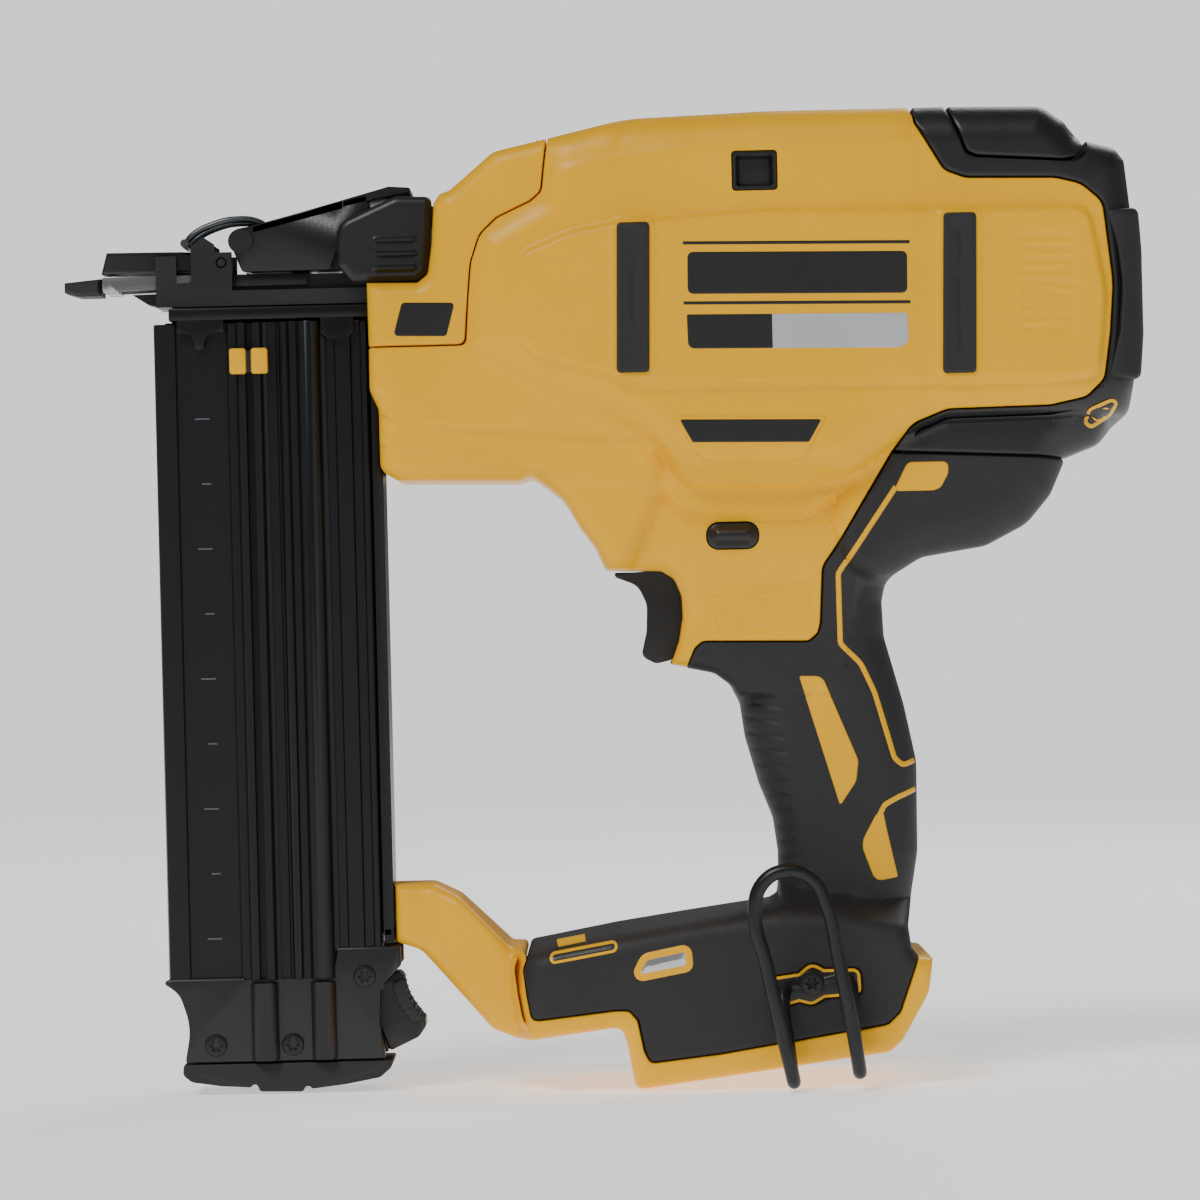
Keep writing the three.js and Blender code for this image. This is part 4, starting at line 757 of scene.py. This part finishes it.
def trim():
    """Accents, blank plates, pads, inlays, the lock-off slider and the lamps on the side faces."""
    for i, outline in enumerate(ACCENT_BLOCKS):
        pair(f"accent_block_{i + 1}", patch(outline, side, 0.3, 0.6), YELLOW, "yellow_trim")
    for i, line in enumerate(ACCENT_LINES):
        pair(f"accent_line_{i + 1}", patch(ribbon(line, 1.5), side, 0.3, 0.6, rim=(0.3,)), YELLOW,
             "yellow_trim")
    for name, corners, mat in PLATES:
        outline = rounded(corners)
        lift = BADGE_LIFT + 0.12 if name == "badge_blank" else 0.12
        pair(name, patch(outline, side, lift, 0.3, 0.06), mat, "black_plastic")
    pair("badge_plate", patch(BADGE_EDGE, side, BADGE_LIFT, 0.5, 0.3), YELLOW, "yellow_trim")
    for place, strip in zip(("front", "rear"), STRIPS):
        dished = lambda points: side(points) - 0.3 * smooth((-distance(points, strip) - 1.2) / 0.8)
        pair(f"bumper_pad_{place}", patch(grown(strip, 0.1), dished, 1.1, 1.4, 0.8, 1.2), RUBBER,
             "black_rubber", f"bumper_strip_{place}")

    def pad_face(points):
        x = points[:, 0]
        return 34.4 - drop(8, np.clip(153.8 - x, 0, 8)) - 1.5 * smooth((x - 143) / 10)

    finished("rear_pad_shell", *both(half_shell(PAD, edged(pad_face, PAD, 1.2), (), 1.8)), RUBBER, "tool",
             ["rear_pad"], "black_rubber")
    for name, outline, lift, width, depth, edge, grid in INLAYS:
        ring = patch(outline, side, lift, depth, edge, grid, (0.3, 0.7))
        core = patch(grown(outline, -width), side, lift + 0.1, depth, edge, grid, (0.3,))
        pair(f"{name}_ring", ring, YELLOW, "yellow_trim")
        pair(f"{name}_core", core, BLACK, "black_plastic")
    sunk = lambda points: side(points) - 1.2 - 3.0 * smooth((-distance(points, WINDOW) - 1.6) / 0.5)
    pair("window_frame", patch(grown(WINDOW, -0.1), sunk, 0.4, 2.5, 0.3, 0.8), BLACK, "black_plastic",
         "window_insert")
    button = grown(LOCK_OFF, -0.35)
    domed = lambda points: 21.9 + 2.3 * smooth(-distance(points, button) / 3.2)
    slider = both(half_shell(button, domed, (), 0.9, rings=(0.3, 0.7, 1.2, 1.8, 2.5, 3.2)))
    finished("lock_off_slider", *joined(slider, prism(grown(LOCK_OFF, 1.2), -14, 14, 0.5, 1)), BLACK,
             "lock_off", ["lock_off_button"], "black_plastic")
    pair("lamp_bezel", patch(grown(LENS, 0.9), side, 0.25, 0.7, 0.2, 0.9, (0.3, 0.7)), YELLOW,
         "yellow_trim")
    pane = grown(LENS, -0.3)
    bulge = lambda points: 36.3 + 0.5 * smooth(-distance(points, pane) / 2.4)
    pair("lamp_cover", patch(pane, bulge, 0.1, 3.5, 0.3, 0.9), LENS_GLASS, "clear_lens", "lamp_lens")


# ---- Small solids --------------------------------------------------------------------------------
def prism(outline, low, high, rounding, segments=3, axis="y"):
    """A solid with rounded rims over an outline in X-Z, or with axis z over an outline in X-Y."""
    solid = bmesh.new()
    at = (lambda p, level: (p[0], level, p[1])) if axis == "y" else (lambda p, level: (p[0], p[1], level))
    rims = [[solid.verts.new(at(p, level)) for p in outline] for level in (low, high)]
    caps = [solid.faces.new(rim) for rim in rims]
    count = len(outline)
    for k in range(count):
        after = (k + 1) % count
        solid.faces.new((rims[0][k], rims[0][after], rims[1][after], rims[1][k]))
    if rounding > 0:
        edges = list(caps[0].edges) + list(caps[1].edges)
        bmesh.ops.bevel(solid, geom=edges, offset=rounding, segments=segments, profile=0.5, affect="EDGES",
                        clamp_overlap=True)
    bmesh.ops.triangulate(solid, faces=[f for f in solid.faces if len(f.verts) > 4])
    solid.verts.index_update()
    shape = np.array([v.co[:] for v in solid.verts]), [tuple(v.index for v in f.verts) for f in solid.faces]
    solid.free()
    return shape


def twins(outline, near, far, rounding, segments):
    """The same prism on both sides of the joint plane, between near and far from it."""
    return [prism(outline, low, high, rounding, segments) for low, high in ((-far, -near), (near, far))]


def joined(*shapes):
    """Several shapes as one."""
    vertices, faces, start = [], [], 0
    for v, f in shapes:
        vertices.append(np.asarray(v))
        faces += [tuple(k + start for k in face) for face in f]
        start += len(v)
    return np.concatenate(vertices), faces


def wire(name, points, radius, mat, body, node):
    """A round bent wire through points in millimetres, with rounded ends."""
    curve = bpy.data.curves.new(name, "CURVE")
    curve.dimensions = "3D"
    curve.bevel_depth = radius * MM
    curve.bevel_resolution = 5
    curve.resolution_u = 10
    curve.use_fill_caps = True
    spline = curve.splines.new("BEZIER")
    spline.bezier_points.add(len(points) - 1)
    for knot, (x, y, z) in zip(spline.bezier_points, points):
        knot.co = (x * MM, (y + MID) * MM, z * MM)
        knot.handle_left_type = knot.handle_right_type = "AUTO"
    spline.bezier_points[0].radius = spline.bezier_points[-1].radius = 0.8
    made = bpy.data.objects.new(name, curve)
    bpy.context.scene.collection.objects.link(made)
    baked = bpy.data.meshes.new_from_object(made.evaluated_get(bpy.context.evaluated_depsgraph_get()))
    bpy.data.objects.remove(made)
    made = bpy.data.objects.new(name, baked)
    bpy.context.scene.collection.objects.link(made)
    baked.materials.append(mat)
    return settled(made, body, [node] if node else [])


def screw_head(x, z, face, radius):
    """A round screw head seen from the left, with a six-lobed socket, as rings of points."""
    turns = 48
    angles = np.arange(turns) * 2 * math.pi / turns
    lobes = radius * (0.42 + 0.1 * np.cos(6 * angles))
    rings = [(lobes * 0.4, 1.3), (lobes * 0.85, 1.3), (lobes, 1.15), (lobes * 1.02, 0.1),
             (lobes * 1.1, 0.0)]
    rings += [(np.full(turns, radius * share), depth) for share, depth in
              ((0.72, -0.05), (0.9, 0.1), (0.98, 0.4), (1.0, 0.8), (1.0, 2.2), (0.5, 2.2))]
    points = [[x, -face + 1.3, z]]
    for r, depth in rings:
        points += [[x + r[k] * math.cos(a), -face + depth, z + r[k] * math.sin(a)]
                   for k, a in enumerate(angles)]
    points.append([x, -face + 2.2, z])
    faces = [(0, 1 + (k + 1) % turns, 1 + k) for k in range(turns)]
    for i in range(len(rings) - 1):
        a, b = 1 + i * turns, 1 + (i + 1) * turns
        faces += [(a + k, a + (k + 1) % turns, b + (k + 1) % turns, b + k) for k in range(turns)]
    last = 1 + (len(rings) - 1) * turns
    faces += [(last + k, last + (k + 1) % turns, len(points) - 1) for k in range(turns)]
    return np.array(points), faces


def trigger_hook_and_screws():
    """The trigger, the belt hook with its screw, and the magazine's screws."""
    finger = rounded([
        [1.7, 146.2, 1], [2.4, 144.8, 1], [8.6, 142.4, 5], [11.2, 136.8, 7], [10.9, 129, 7],
        [9.2, 122, 2], [13.2, 119.8, 2.5], [18, 120.8, 3], [24.6, 129, 4], [26, 142, 4], [22.8, 149.6, 3],
        [19.5, 153, 2.6], [15.4, 150, 2], [15, 146.2, 1],
    ])
    finished("trigger_blade", *prism(finger, -7.4, 7.4, 1.8, 5), BLACK, "trigger", ["trigger"],
             "black_plastic")
    reach = 54
    root = -35.5
    path = [
        [51, root, 28.9], [47.6, root - 0.5, 28], [46.4, root - 3.5, 24.5], [47.4, -43, 12],
        [48.2, -45.6, 4.5], [48.5, -48.6, 2.6], [48, -51.2, 5], [45.4, -reach + 0.5, 17],
        [41.4, -reach, 36], [38.6, -reach, 50], [40.8, -reach, 58.4], [47.6, -reach, 61.9],
        [54.6, -reach, 59.5], [58.6, -reach, 52], [61.4, -reach, 38], [64.8, -reach + 0.5, 19],
        [66.6, -51.2, 7.4], [67, -48.6, 4.9], [66.8, -45.6, 7], [66, -42, 15], [65.6, root - 3.5, 27],
        [64, root - 0.5, 30.4], [58.2, root, 29.9],
    ]
    wire("belt_hook_wire", path, 2, DARK_METAL, "tool", "belt_hook")
    finished("belt_hook_screw_head", *screw_head(54.6, 29.4, 39.4, 3.4), DARK_METAL, "tool",
             ["belt_hook_screw"], "dark_steel")
    for i, (x, z) in enumerate(MAGAZINE_SCREWS):
        finished(f"magazine_screw_head_{i + 1}", *screw_head(x, z, 13.7, 3.2), DARK_METAL, "magazine",
                 [f"magazine_screw_{i + 1}"], "dark_steel")


# ---- Magazine ------------------------------------------------------------------------------------
def magazine():
    """The sliding cover, drawn as its section across the magazine and run along its height."""
    w = MAGAZINE_W

    def rib(x0, x1, rise):
        """Half an ellipse that stands out of the face, from x0 to x1."""
        middle, half = 0.5 * (x0 + x1), 0.5 * (x1 - x0)
        return [[middle - half * math.cos(a), -w - rise * math.sin(a)] for a in np.linspace(0, math.pi, 17)]

    face = [[-128.3, -w + 1.6], [-127.9, -w + 0.5], [-126.8, -w], [-122.2, -w], [-121.8, -w + 0.8],
            [-107.6, -w + 0.8], [-107, -w], [-105.4, -w]]
    face += rib(-104.8, -102.1, 2.6)[:9]
    face += [[-102.1, -w - 2.4], [-101.9, -w + 1.2], [-100, -w + 1.2], [-99.8, -w - 2.4]]
    face += rib(-99.8, -97.1, 2.6)[8:] + [[-96.2, -w], [-95.8, -w + 0.5], [-93.4, -w + 0.5], [-93, -w]]
    face += rib(-92.6, -89.6, 1.2) + rib(-87.6, -80.6, 3.1)
    face += [[-79.4, -w], [-79, -w + 0.6], [-76.8, -w + 0.6], [-76.4, -w], [-72.2, -w], [-71.8, -w + 0.9],
             [-69.4, -w + 0.9], [-69, -w], [-67.6, -w], [-66.9, -w + 0.7]]
    section = np.array(face + [[-66.9, -0.95], [-126.2, -0.95], [-126.2, w - 1.2], [-128.3, w - 1.2]])
    finished("magazine_cover_skin", *prism(section, 32.2, 220.3, 0.25, 1, "z"), ANODISED, "magazine",
             ["magazine_cover"], "black_aluminium", 40)
    marks = []
    for i in range(9):
        z = 44 + 18.6 * i
        long = 4.2 if i % 2 == 0 else 2.6
        tick = np.array([[-112.8 - long, z], [-112.8, z], [-112.8, z + 0.5], [-112.8 - long, z + 0.5]])
        marks.append(prism(tick, -w + 0.5, -w + 0.9, 0.05, 1))
    finished("magazine_scale_marks", *joined(*marks), GREY_MARK, "magazine", (), "black_aluminium")


# ---- Magazine end, latch and knob ----------------------------------------------------------------
def magazine_end():
    """The end cap with its shoe and thumb latch, and the pusher's knob."""
    w = MAGAZINE_W + 0.5
    cheek = rounded([
        [-128, 33], [-130.2, 31.9, 0.9], [-125.4, 28.9, 7], [-122.2, 19, 18], [-124.2, 8.8, 0.8],
        [-66.6, 8.8, 0.8], [-68.4, 20, 6], [-67.8, 29.6, 3], [-61.8, 35.4, 1], [-61.8, 41, 0.8],
        [-80.5, 41, 0.8], [-80.5, 31.6], [-105.6, 31.6], [-106.4, 33],
    ])
    core = rounded([[-123, 31], [-121, 20, 12], [-122.4, 9.4], [-78, 9.4], [-78, 31]])
    parts = [*twins(cheek, 9.2, w, 0.8, 3), prism(core, -10, 10, 0.2, 1)]
    for x0, x1 in ((-104.9, -97), (-87.7, -80.5)):
        middle, radius = 0.5 * (x0 + x1), 0.5 * (x1 - x0)
        arc = np.array([[middle + radius * math.cos(a), -w + 0.3 + radius * 0.95 * math.sin(a)]
                        for a in np.linspace(math.pi, 2 * math.pi, 19)])
        parts.append(prism(arc, 9.2, 31.4, 0.5, 2, "z"))
    finished("magazine_end_shell", *joined(*parts), BLACK, "magazine", ["magazine_end_cap"],
             "black_plastic")
    base = rounded([
        [-124.6, 8.4, 0.5], [-125, 5.4, 2], [-122.4, 3.4, 2], [-114, 2.1, 6], [-105.4, 1.5, 1],
        [-104.7, 2.7, 0.3], [-103.7, 2.7, 0.3], [-103, 0.3, 0.8], [-90.6, 0, 0.8], [-89.9, 1.9, 0.3],
        [-88.9, 1.9, 0.3], [-88.2, 0.7, 1], [-78, 1.9, 6], [-68.4, 3.6, 2], [-65.2, 6.4, 2],
        [-64.6, 8.4, 0.5],
    ])
    finished("magazine_base_shoe", *prism(base, -w, w, 1.1, 4), RUBBER, "magazine", ["magazine_base_pad"],
             "black_rubber")
    thumb = []
    for t in np.linspace(0, 1, 57):
        hollow = 1.2 * math.sin(math.pi * t)
        ridges = 0.28 * math.cos(14 * math.pi * t)
        thumb.append([-61.4 + 5.6 * t - hollow + ridges, 31.4 - 11.6 * t])
    tip = rounded([
        [-55.4, 19.2], [-55.2, 17.4, 1.5], [-57.4, 14.4, 2], [-66, 10.4, 1.2], [-68.6, 19.5, 5],
        [-67.6, 29.6, 3], [-66.4, 32.4, 1.5], [-62.4, 33.2, 1.5], [-61.4, 31.8],
    ])
    inner_edge = [[x - 3.1, z - 1.0] for x, z in thumb[::-1]]
    button = prism(np.array(thumb + tip.tolist()), -7.2, 7.2, 0.6, 3)
    ridged_face = prism(np.array(thumb + inner_edge), -8.2, 8.2, 0.4, 2)
    finished("magazine_thumb_latch", *joined(button, ridged_face), BLACK, "magazine_latch",
             ["magazine_latch"], "black_plastic", 40)
    inner_y, outer_y = -MAGAZINE_W - 3.6, -MAGAZINE_W - 5.4
    pads = []
    for hand in (-1, 1):
        middle = -100.95 + hand * 3.1
        pad = rounded([[middle - 2.4, inner_y], [middle - 2.4, outer_y, 1.2], [middle + 2.4, outer_y, 1.2],
                       [middle + 2.4, inner_y]])
        pads.append(prism(pad, 205.4, 212.8, 1.1, 4, "z"))
    finished("pusher_thumb_knob", *joined(*pads), YELLOW, "pusher", ["pusher_knob"], "yellow_trim", 40)
    # A black sheet at the bottom of the slot between the knob's two halves: painted shade in the slot.
    slot_shade = rounded([
        [-103, inner_y + 0.2], [-103, inner_y - 0.9], [-99, inner_y - 0.9], [-99, inner_y + 0.2],
    ])
    finished("pusher_knob_slot_shade", *prism(slot_shade, 206, 212.2, 0.2, 1, "z"), PAINT_BLACK, "pusher", (),
             "black_plastic")


def magazine_rail():
    """The fixed half of the magazine, with grooves down its outer face and a stepped top plate."""
    w = MAGAZINE_W
    face = [[-126, 0.95], [-126, w - 0.7], [-125.3, w]]
    channels = ((-121, -112, 0.8), (-109, -108, 0.7), (-104, -92, 0.9), (-89.4, -88.4, 0.7),
                (-84, -74, 0.8))
    for x0, x1, depth in channels:
        face += [[x0, w], [x0 + 0.3, w - depth], [x1 - 0.3, w - depth], [x1, w]]
    face += [[-64.6, w], [-63.5, w - 0.7], [-63.5, -w + 0.5], [-64.4, -w], [-66.5, -w], [-66.5, 0.95]]
    for x0, x1 in ((-84, -76), (-101.6, -91), (-120, -112)):
        face += [[x1, 0.95], [x1 - 0.3, 2.1], [x0 + 0.3, 2.1], [x0, 0.95]]
    top = rounded([[-123.7, 221.1, 0.4], [-123.7, 224.7, 0.6], [-63.5, 224.7, 0.6], [-63.5, 221.1, 0.4]])
    hook = rounded([
        [-121.4, 221.4], [-121.4, 217.4, 0.6], [-117.2, 217.4, 0.8], [-116.6, 212.6, 1.6],
        [-113.8, 212.6, 1.6], [-113.2, 217.4, 0.8], [-108, 217.4, 0.6], [-108, 221.4],
    ])
    lug = rounded([
        [-80.4, 221.4], [-80.4, 216.6, 0.8], [-77.6, 214.8, 1], [-73.6, 214.8, 1], [-70.9, 216.6, 0.8],
        [-70.9, 221.4],
    ])
    foot = rounded([[-66.4, 41.6, 0.4], [-66.4, 46], [-63.5, 46], [-63.5, 41.6, 0.4]])
    parts = [prism(np.array(face), 44, 221.4, 0.25, 1, "z"), prism(top, -w - 1.6, w + 0.8, 0.5, 2),
             prism(hook, w - 0.4, w + 0.7, 0.3, 2), prism(hook, -w - 1.5, -w - 0.5, 0.3, 2),
             prism(lug, -w - 1.5, -w - 0.5, 0.3, 2), prism(foot, -w, w - 2, 0.3, 1)]
    finished("magazine_rail_skin", *joined(*parts), ANODISED, "tool", ["magazine_rail"],
             "black_aluminium", 40)


# ---- Nose ----------------------------------------------------------------------------------------
def nose():
    """The ribbed cap, the latch lever with its wire bail, and the contact trip."""
    cheek = rounded([
        [-74.9, 235.4, 2], [-74.8, 247.6, 5.5], [-58, 255, 5], [-47.6, 254.6, 1.5], [-48.9, 233, 2],
        [-52, 230.5, 1], [-71, 230.5, 2.5],
    ])
    rib_lines = [[[-63.6, z], [-53, z]] for z in (242.4, 238.4, 234.4)]

    def swollen(points):
        ribs = sum(0.9 * (1 - smooth((distance(points, np.array(line), False) - 0.35) / 0.7))
                   for line in rib_lines)
        return 20 - drop(2.4, np.clip(-distance(points, cheek), 0, 2.4)) + ribs

    def inner_wall(points):
        return np.full(len(points), 14.3)

    detail = [inside(along(line, (-1.2, -0.8, -0.4, 0, 0.4, 0.8, 1.2), 0.5), cheek) for line in rib_lines]
    shape = half_shell(cheek, swollen, detail, 1.2, joint=inner_wall, wall=1.8,
                       rings=(0.25, 0.6, 1.1, 1.7, 2.4))
    bridge = rounded([[-56, 232, 0.5], [-54, 250, 1], [-48.4, 250, 0.5], [-49.6, 233, 0.5]])
    bearing = rounded([[16, 234.6, 1], [27.4, 234.6, 3.4], [27.4, 242.4, 3.4], [16, 242.4, 1]])
    turned = prism(bearing, -74.8, -64.2, 0.5, 2)
    lobe = (turned[0][:, [1, 0, 2]], [tuple(reversed(f)) for f in turned[1]])
    finished("nose_cap_shell", *joined(both(shape), *twins(bridge, 14.2, 19, 0.3, 1), lobe), BLACK, "tool",
             ["nose_cap"], "black_plastic")
    skirt = rounded([
        [-102.6, 234.8, 1], [-103.4, 240, 2], [-105.4, 241.4, 2], [-105.8, 244, 3], [-104.6, 247, 2.5],
        [-99.6, 247.8, 2], [-75.4, 253.9], [-66, 256.2, 0.5], [-66, 250], [-76, 240], [-76.6, 234.8, 1.5],
    ])
    slope = rounded([[-99.4, 245.6, 0.6], [-99.4, 247.8, 0.8], [-73, 254.7], [-73, 252]])
    handle = rounded([
        [-73.6, 252], [-73.6, 254.6], [-60, 258.2, 2], [-53.6, 257.8, 0.9], [-53.8, 256, 0.9],
        [-62, 255.2, 2],
    ])
    strips = [prism(slope, y0, y1, 0.3, 2) for y0, y1 in ((-13.2, -9.5), (-5.7, 5.7), (9.5, 13.2))]
    plates = [*twins(skirt, 11.2, 13.2, 0.45, 3), prism(handle, -13.2, 13.2, 0.8, 3), *strips]
    finished("latch_lever_plate", *joined(*plates), DARK_METAL, "latch", ["latch_lever"], "black_steel")
    around = np.linspace(0, 2 * math.pi, 40, endpoint=False)
    disc = np.array([[-102.6 + 3.5 * math.cos(a), 243.5 + 3.5 * math.sin(a)] for a in around])
    finished("latch_pin_heads", *joined(*twins(disc, 13.5, 15.2, 0.5, 3)), DARK_METAL, "tool",
             ["latch_pin"], "bright_steel")
    pivot_x, pivot_z = -93.4, 246.1
    side_run = [[pivot_x, pivot_z], [-97.4, 249.2], [-104, 250.2], [-111, 248.8], [-116.6, 246],
                [-118.9, 243.6]]
    bail = [(f"wire_bail_{hand}", [[x, y, z] for x, z in side_run], 1.0)
            for hand, y in (("left", -7.6), ("right", 7.6))]
    bail.append(("wire_bail_hook", [[-118.9, -11, 243.5], [-118.9, 11, 243.5]], 1.5))
    bail.append(("wire_bail_pivot", [[pivot_x, -8.4, pivot_z], [pivot_x, 8.4, pivot_z]], 1.0))
    for name, path, radius in bail:
        wire(name, path, radius, DARK_STEEL, "bail", "wire_bail")
    rail = rounded([
        [-142.9, 229.8, 1], [-142.9, 234.6, 0.6], [-112, 234.5], [-112, 230.7], [-138, 230.7],
        [-138.6, 229.8, 0.4],
    ])
    rear = rounded([[-112.4, 230.8], [-112.4, 234.4], [-84, 234.4, 0.5], [-84, 230.8, 0.5]])
    bar = rounded([[-142.9, 229.8, 1], [-142.9, 234.6, 0.6], [-138.5, 234.6, 0.4], [-138.5, 229.8, 0.4]])
    stop = rounded([[-90, 230.8, 0.4], [-90, 242, 0.8], [-84, 242, 0.8], [-84, 230.8, 0.4]])
    front = twins(rail, 6.2, 9, 0.35, 2) + twins(bar, 1.3, 8.9, 0.3, 2)
    finished("contact_trip_front", *joined(*front), STEEL, "contact_trip", ["contact_trip"], "bright_steel")
    link = rounded([[-90, 230.9, 0.4], [-90, 234.4, 0.4], [-84, 234.4, 0.4], [-84, 230.9, 0.4]])
    back = [*twins(rear, 6.4, 8.8, 0.3, 2), prism(link, 8.6, 15.4, 0.3, 1), prism(stop, 13.6, 15.4, 0.4, 2)]
    finished("contact_trip_rear", *joined(*back), DARK_METAL, "contact_trip", ["contact_trip"],
             "bright_steel")


# ---- Lips behind the parting lines ---------------------------------------------------------------
SEAMS = [
    ("rear", [[89.3, 274], [90.2, 271], [97.8, 257.5], [103.6, 255.2], [129, 254.6], [136, 252.8],
     [142.2, 247.6], [144.7, 224.7], [143.6, 211], [141.5, 197.6], [136.4, 192.5], [126.3, 190.5],
     [97.2, 190.1], [87.3, 186.3], [82.4, 179.6]], 17.6, 21, BLACK),
    ("neck", [[81.4, 178.2], [64.8, 151.5], [61.2, 146.6], [60.4, 130.8], [59.4, 127.5], [57, 125.4],
     [26.5, 126], [24.6, 124.4]], 10, 14, BLACK),
    ("cover", [[-14.6, 267], [-15.2, 263.4], [-16.2, 254.4], [-19.5, 251.7], [-29, 247.4], [-33.9, 242.7],
     [-36.6, 235], [-37.7, 224.3], [-38.6, 211.7], [-64, 211.7]], 18.2, 21, YELLOW),
    ("foot", [[-25.6, 34.5], [-25.7, 27.4], [-24.4, 20.2], [-0.7, 22.7], [3, 22.6], [5.5, 19.9],
     [7.1, 11.3], [8.7, 7.7], [28.5, 9.8], [75.8, 17], [79.4, 20.4], [84.6, 34.5]], 20, 30, BLACK),
    ("pod", [[84.4, 178.3], [123, 176.3], [130, 175.6]], 14, 20, BLACK),
]


def seam_lips():
    """Strips behind the parting lines, so that no light shows through them."""
    for name, line, inner, outer, mat in SEAMS:
        pair(f"seam_lip_{name}", prism(ribbon(line, 2.2), -outer, -inner, 0), mat, "black_plastic")


housing()
trim()
trigger_hook_and_screws()
magazine()
magazine_end()
magazine_rail()
nose()
seam_lips()


# ---- CAD nodes that stay: finishes by material slot ----------------------------------------------
FINISHES = {
    "yellow_housing": YELLOW, "black_rubber": RUBBER, "black_plastic": BLACK, "yellow_trim": YELLOW,
    "clear_lens": LENS_GLASS, "black_steel": DARK_METAL, "bright_steel": STEEL, "dark_steel": DARK_STEEL,
    "black_aluminium": ANODISED, "cast_aluminium": CAST, "copper_winding": COPPER, "contact_brass": BRASS,
}
for part in frame["record"]["subparts"]:
    node = frame["nodes"][part["node"]]
    node.data.materials.clear()
    finish = BOARD if part["node"] == "controller_board" else FINISHES[part["material_slot"]]
    node.data.materials.append(finish)
    soften = node.modifiers.new("edges", "BEVEL")
    soften.width = 0.0003
    soften.segments = 2
    soften.angle_limit = math.radians(35)


# ---- Floor, light and camera ---------------------------------------------------------------------
def studio():
    """A pale floor, a soft sun and two broad lamps."""
    bpy.ops.mesh.primitive_plane_add(size=8, location=(0, 0, -0.0005))
    floor = bpy.context.object
    floor.name = "floor"
    ground = material("pale_floor", (0.86, 0.86, 0.86), 0.7, spread=0.01, bump=0.02)
    surface = ground.node_tree.nodes["Principled BSDF"].inputs
    surface["Emission Color"].default_value = (1, 1, 1, 1)
    surface["Emission Strength"].default_value = 0.7
    floor.data.materials.append(ground)
    world = bpy.data.worlds.new("studio")
    bpy.context.scene.world = world
    world.use_nodes = True
    tree = world.node_tree
    sky = tree.nodes["Background"]
    sky.inputs["Color"].default_value = (1, 1, 1, 1)
    rays = tree.nodes.new("ShaderNodeLightPath")
    level = tree.nodes.new("ShaderNodeMapRange")
    level.inputs["To Min"].default_value = 0.14
    level.inputs["To Max"].default_value = 1.15
    tree.links.new(rays.outputs["Is Camera Ray"], level.inputs["Value"])
    tree.links.new(level.outputs["Result"], sky.inputs["Strength"])
    sun = bpy.data.lights.new("soft_sun", "SUN")
    sun.energy = 1.7
    sun.angle = math.radians(22)
    lit_from = bpy.data.objects.new("soft_sun", sun)
    bpy.context.scene.collection.objects.link(lit_from)
    lit_from.rotation_euler = Vector((0.4, 0.62, -0.85)).to_track_quat("-Z", "Y").to_euler()
    lamps = (("fill", (0.9, -1.4, 0.5), 1.5, 1.0), ("back", (0.5, 1.1, 1.1), 6, 0.7))
    for name, place, power, size in lamps:
        lamp = bpy.data.lights.new(name, "AREA")
        lamp.energy = power
        lamp.size = size
        holder = bpy.data.objects.new(name, lamp)
        bpy.context.scene.collection.objects.link(holder)
        holder.location = place
        aim = Vector((0, 0, 0.14)) - Vector(place)
        holder.rotation_euler = aim.to_track_quat("-Z", "Y").to_euler()


def camera():
    """A level view of the photographed side, turned a little about its own axis."""
    lens = bpy.data.cameras.new("camera")
    holder = bpy.data.objects.new("camera", lens)
    bpy.context.scene.collection.objects.link(holder)
    roll = math.radians(1.4)
    right = Vector((math.cos(roll), 0, -math.sin(roll)))
    up = Vector((math.sin(roll), 0, math.cos(roll)))
    back = right.cross(up)
    stand_off = 1.5
    seen_width = 0.3396  # across the picture, in the plane of the aim point
    aim_point = Vector((-0.00236, -0.020, 0.1385))
    holder.matrix_world = Matrix((right, up, back)).transposed().to_4x4()
    holder.matrix_world.translation = aim_point + back * stand_off
    lens.sensor_width = 36
    lens.lens = lens.sensor_width * stand_off / seen_width
    lens.clip_start = 0.05
    bpy.context.scene.camera = holder


studio()
camera()
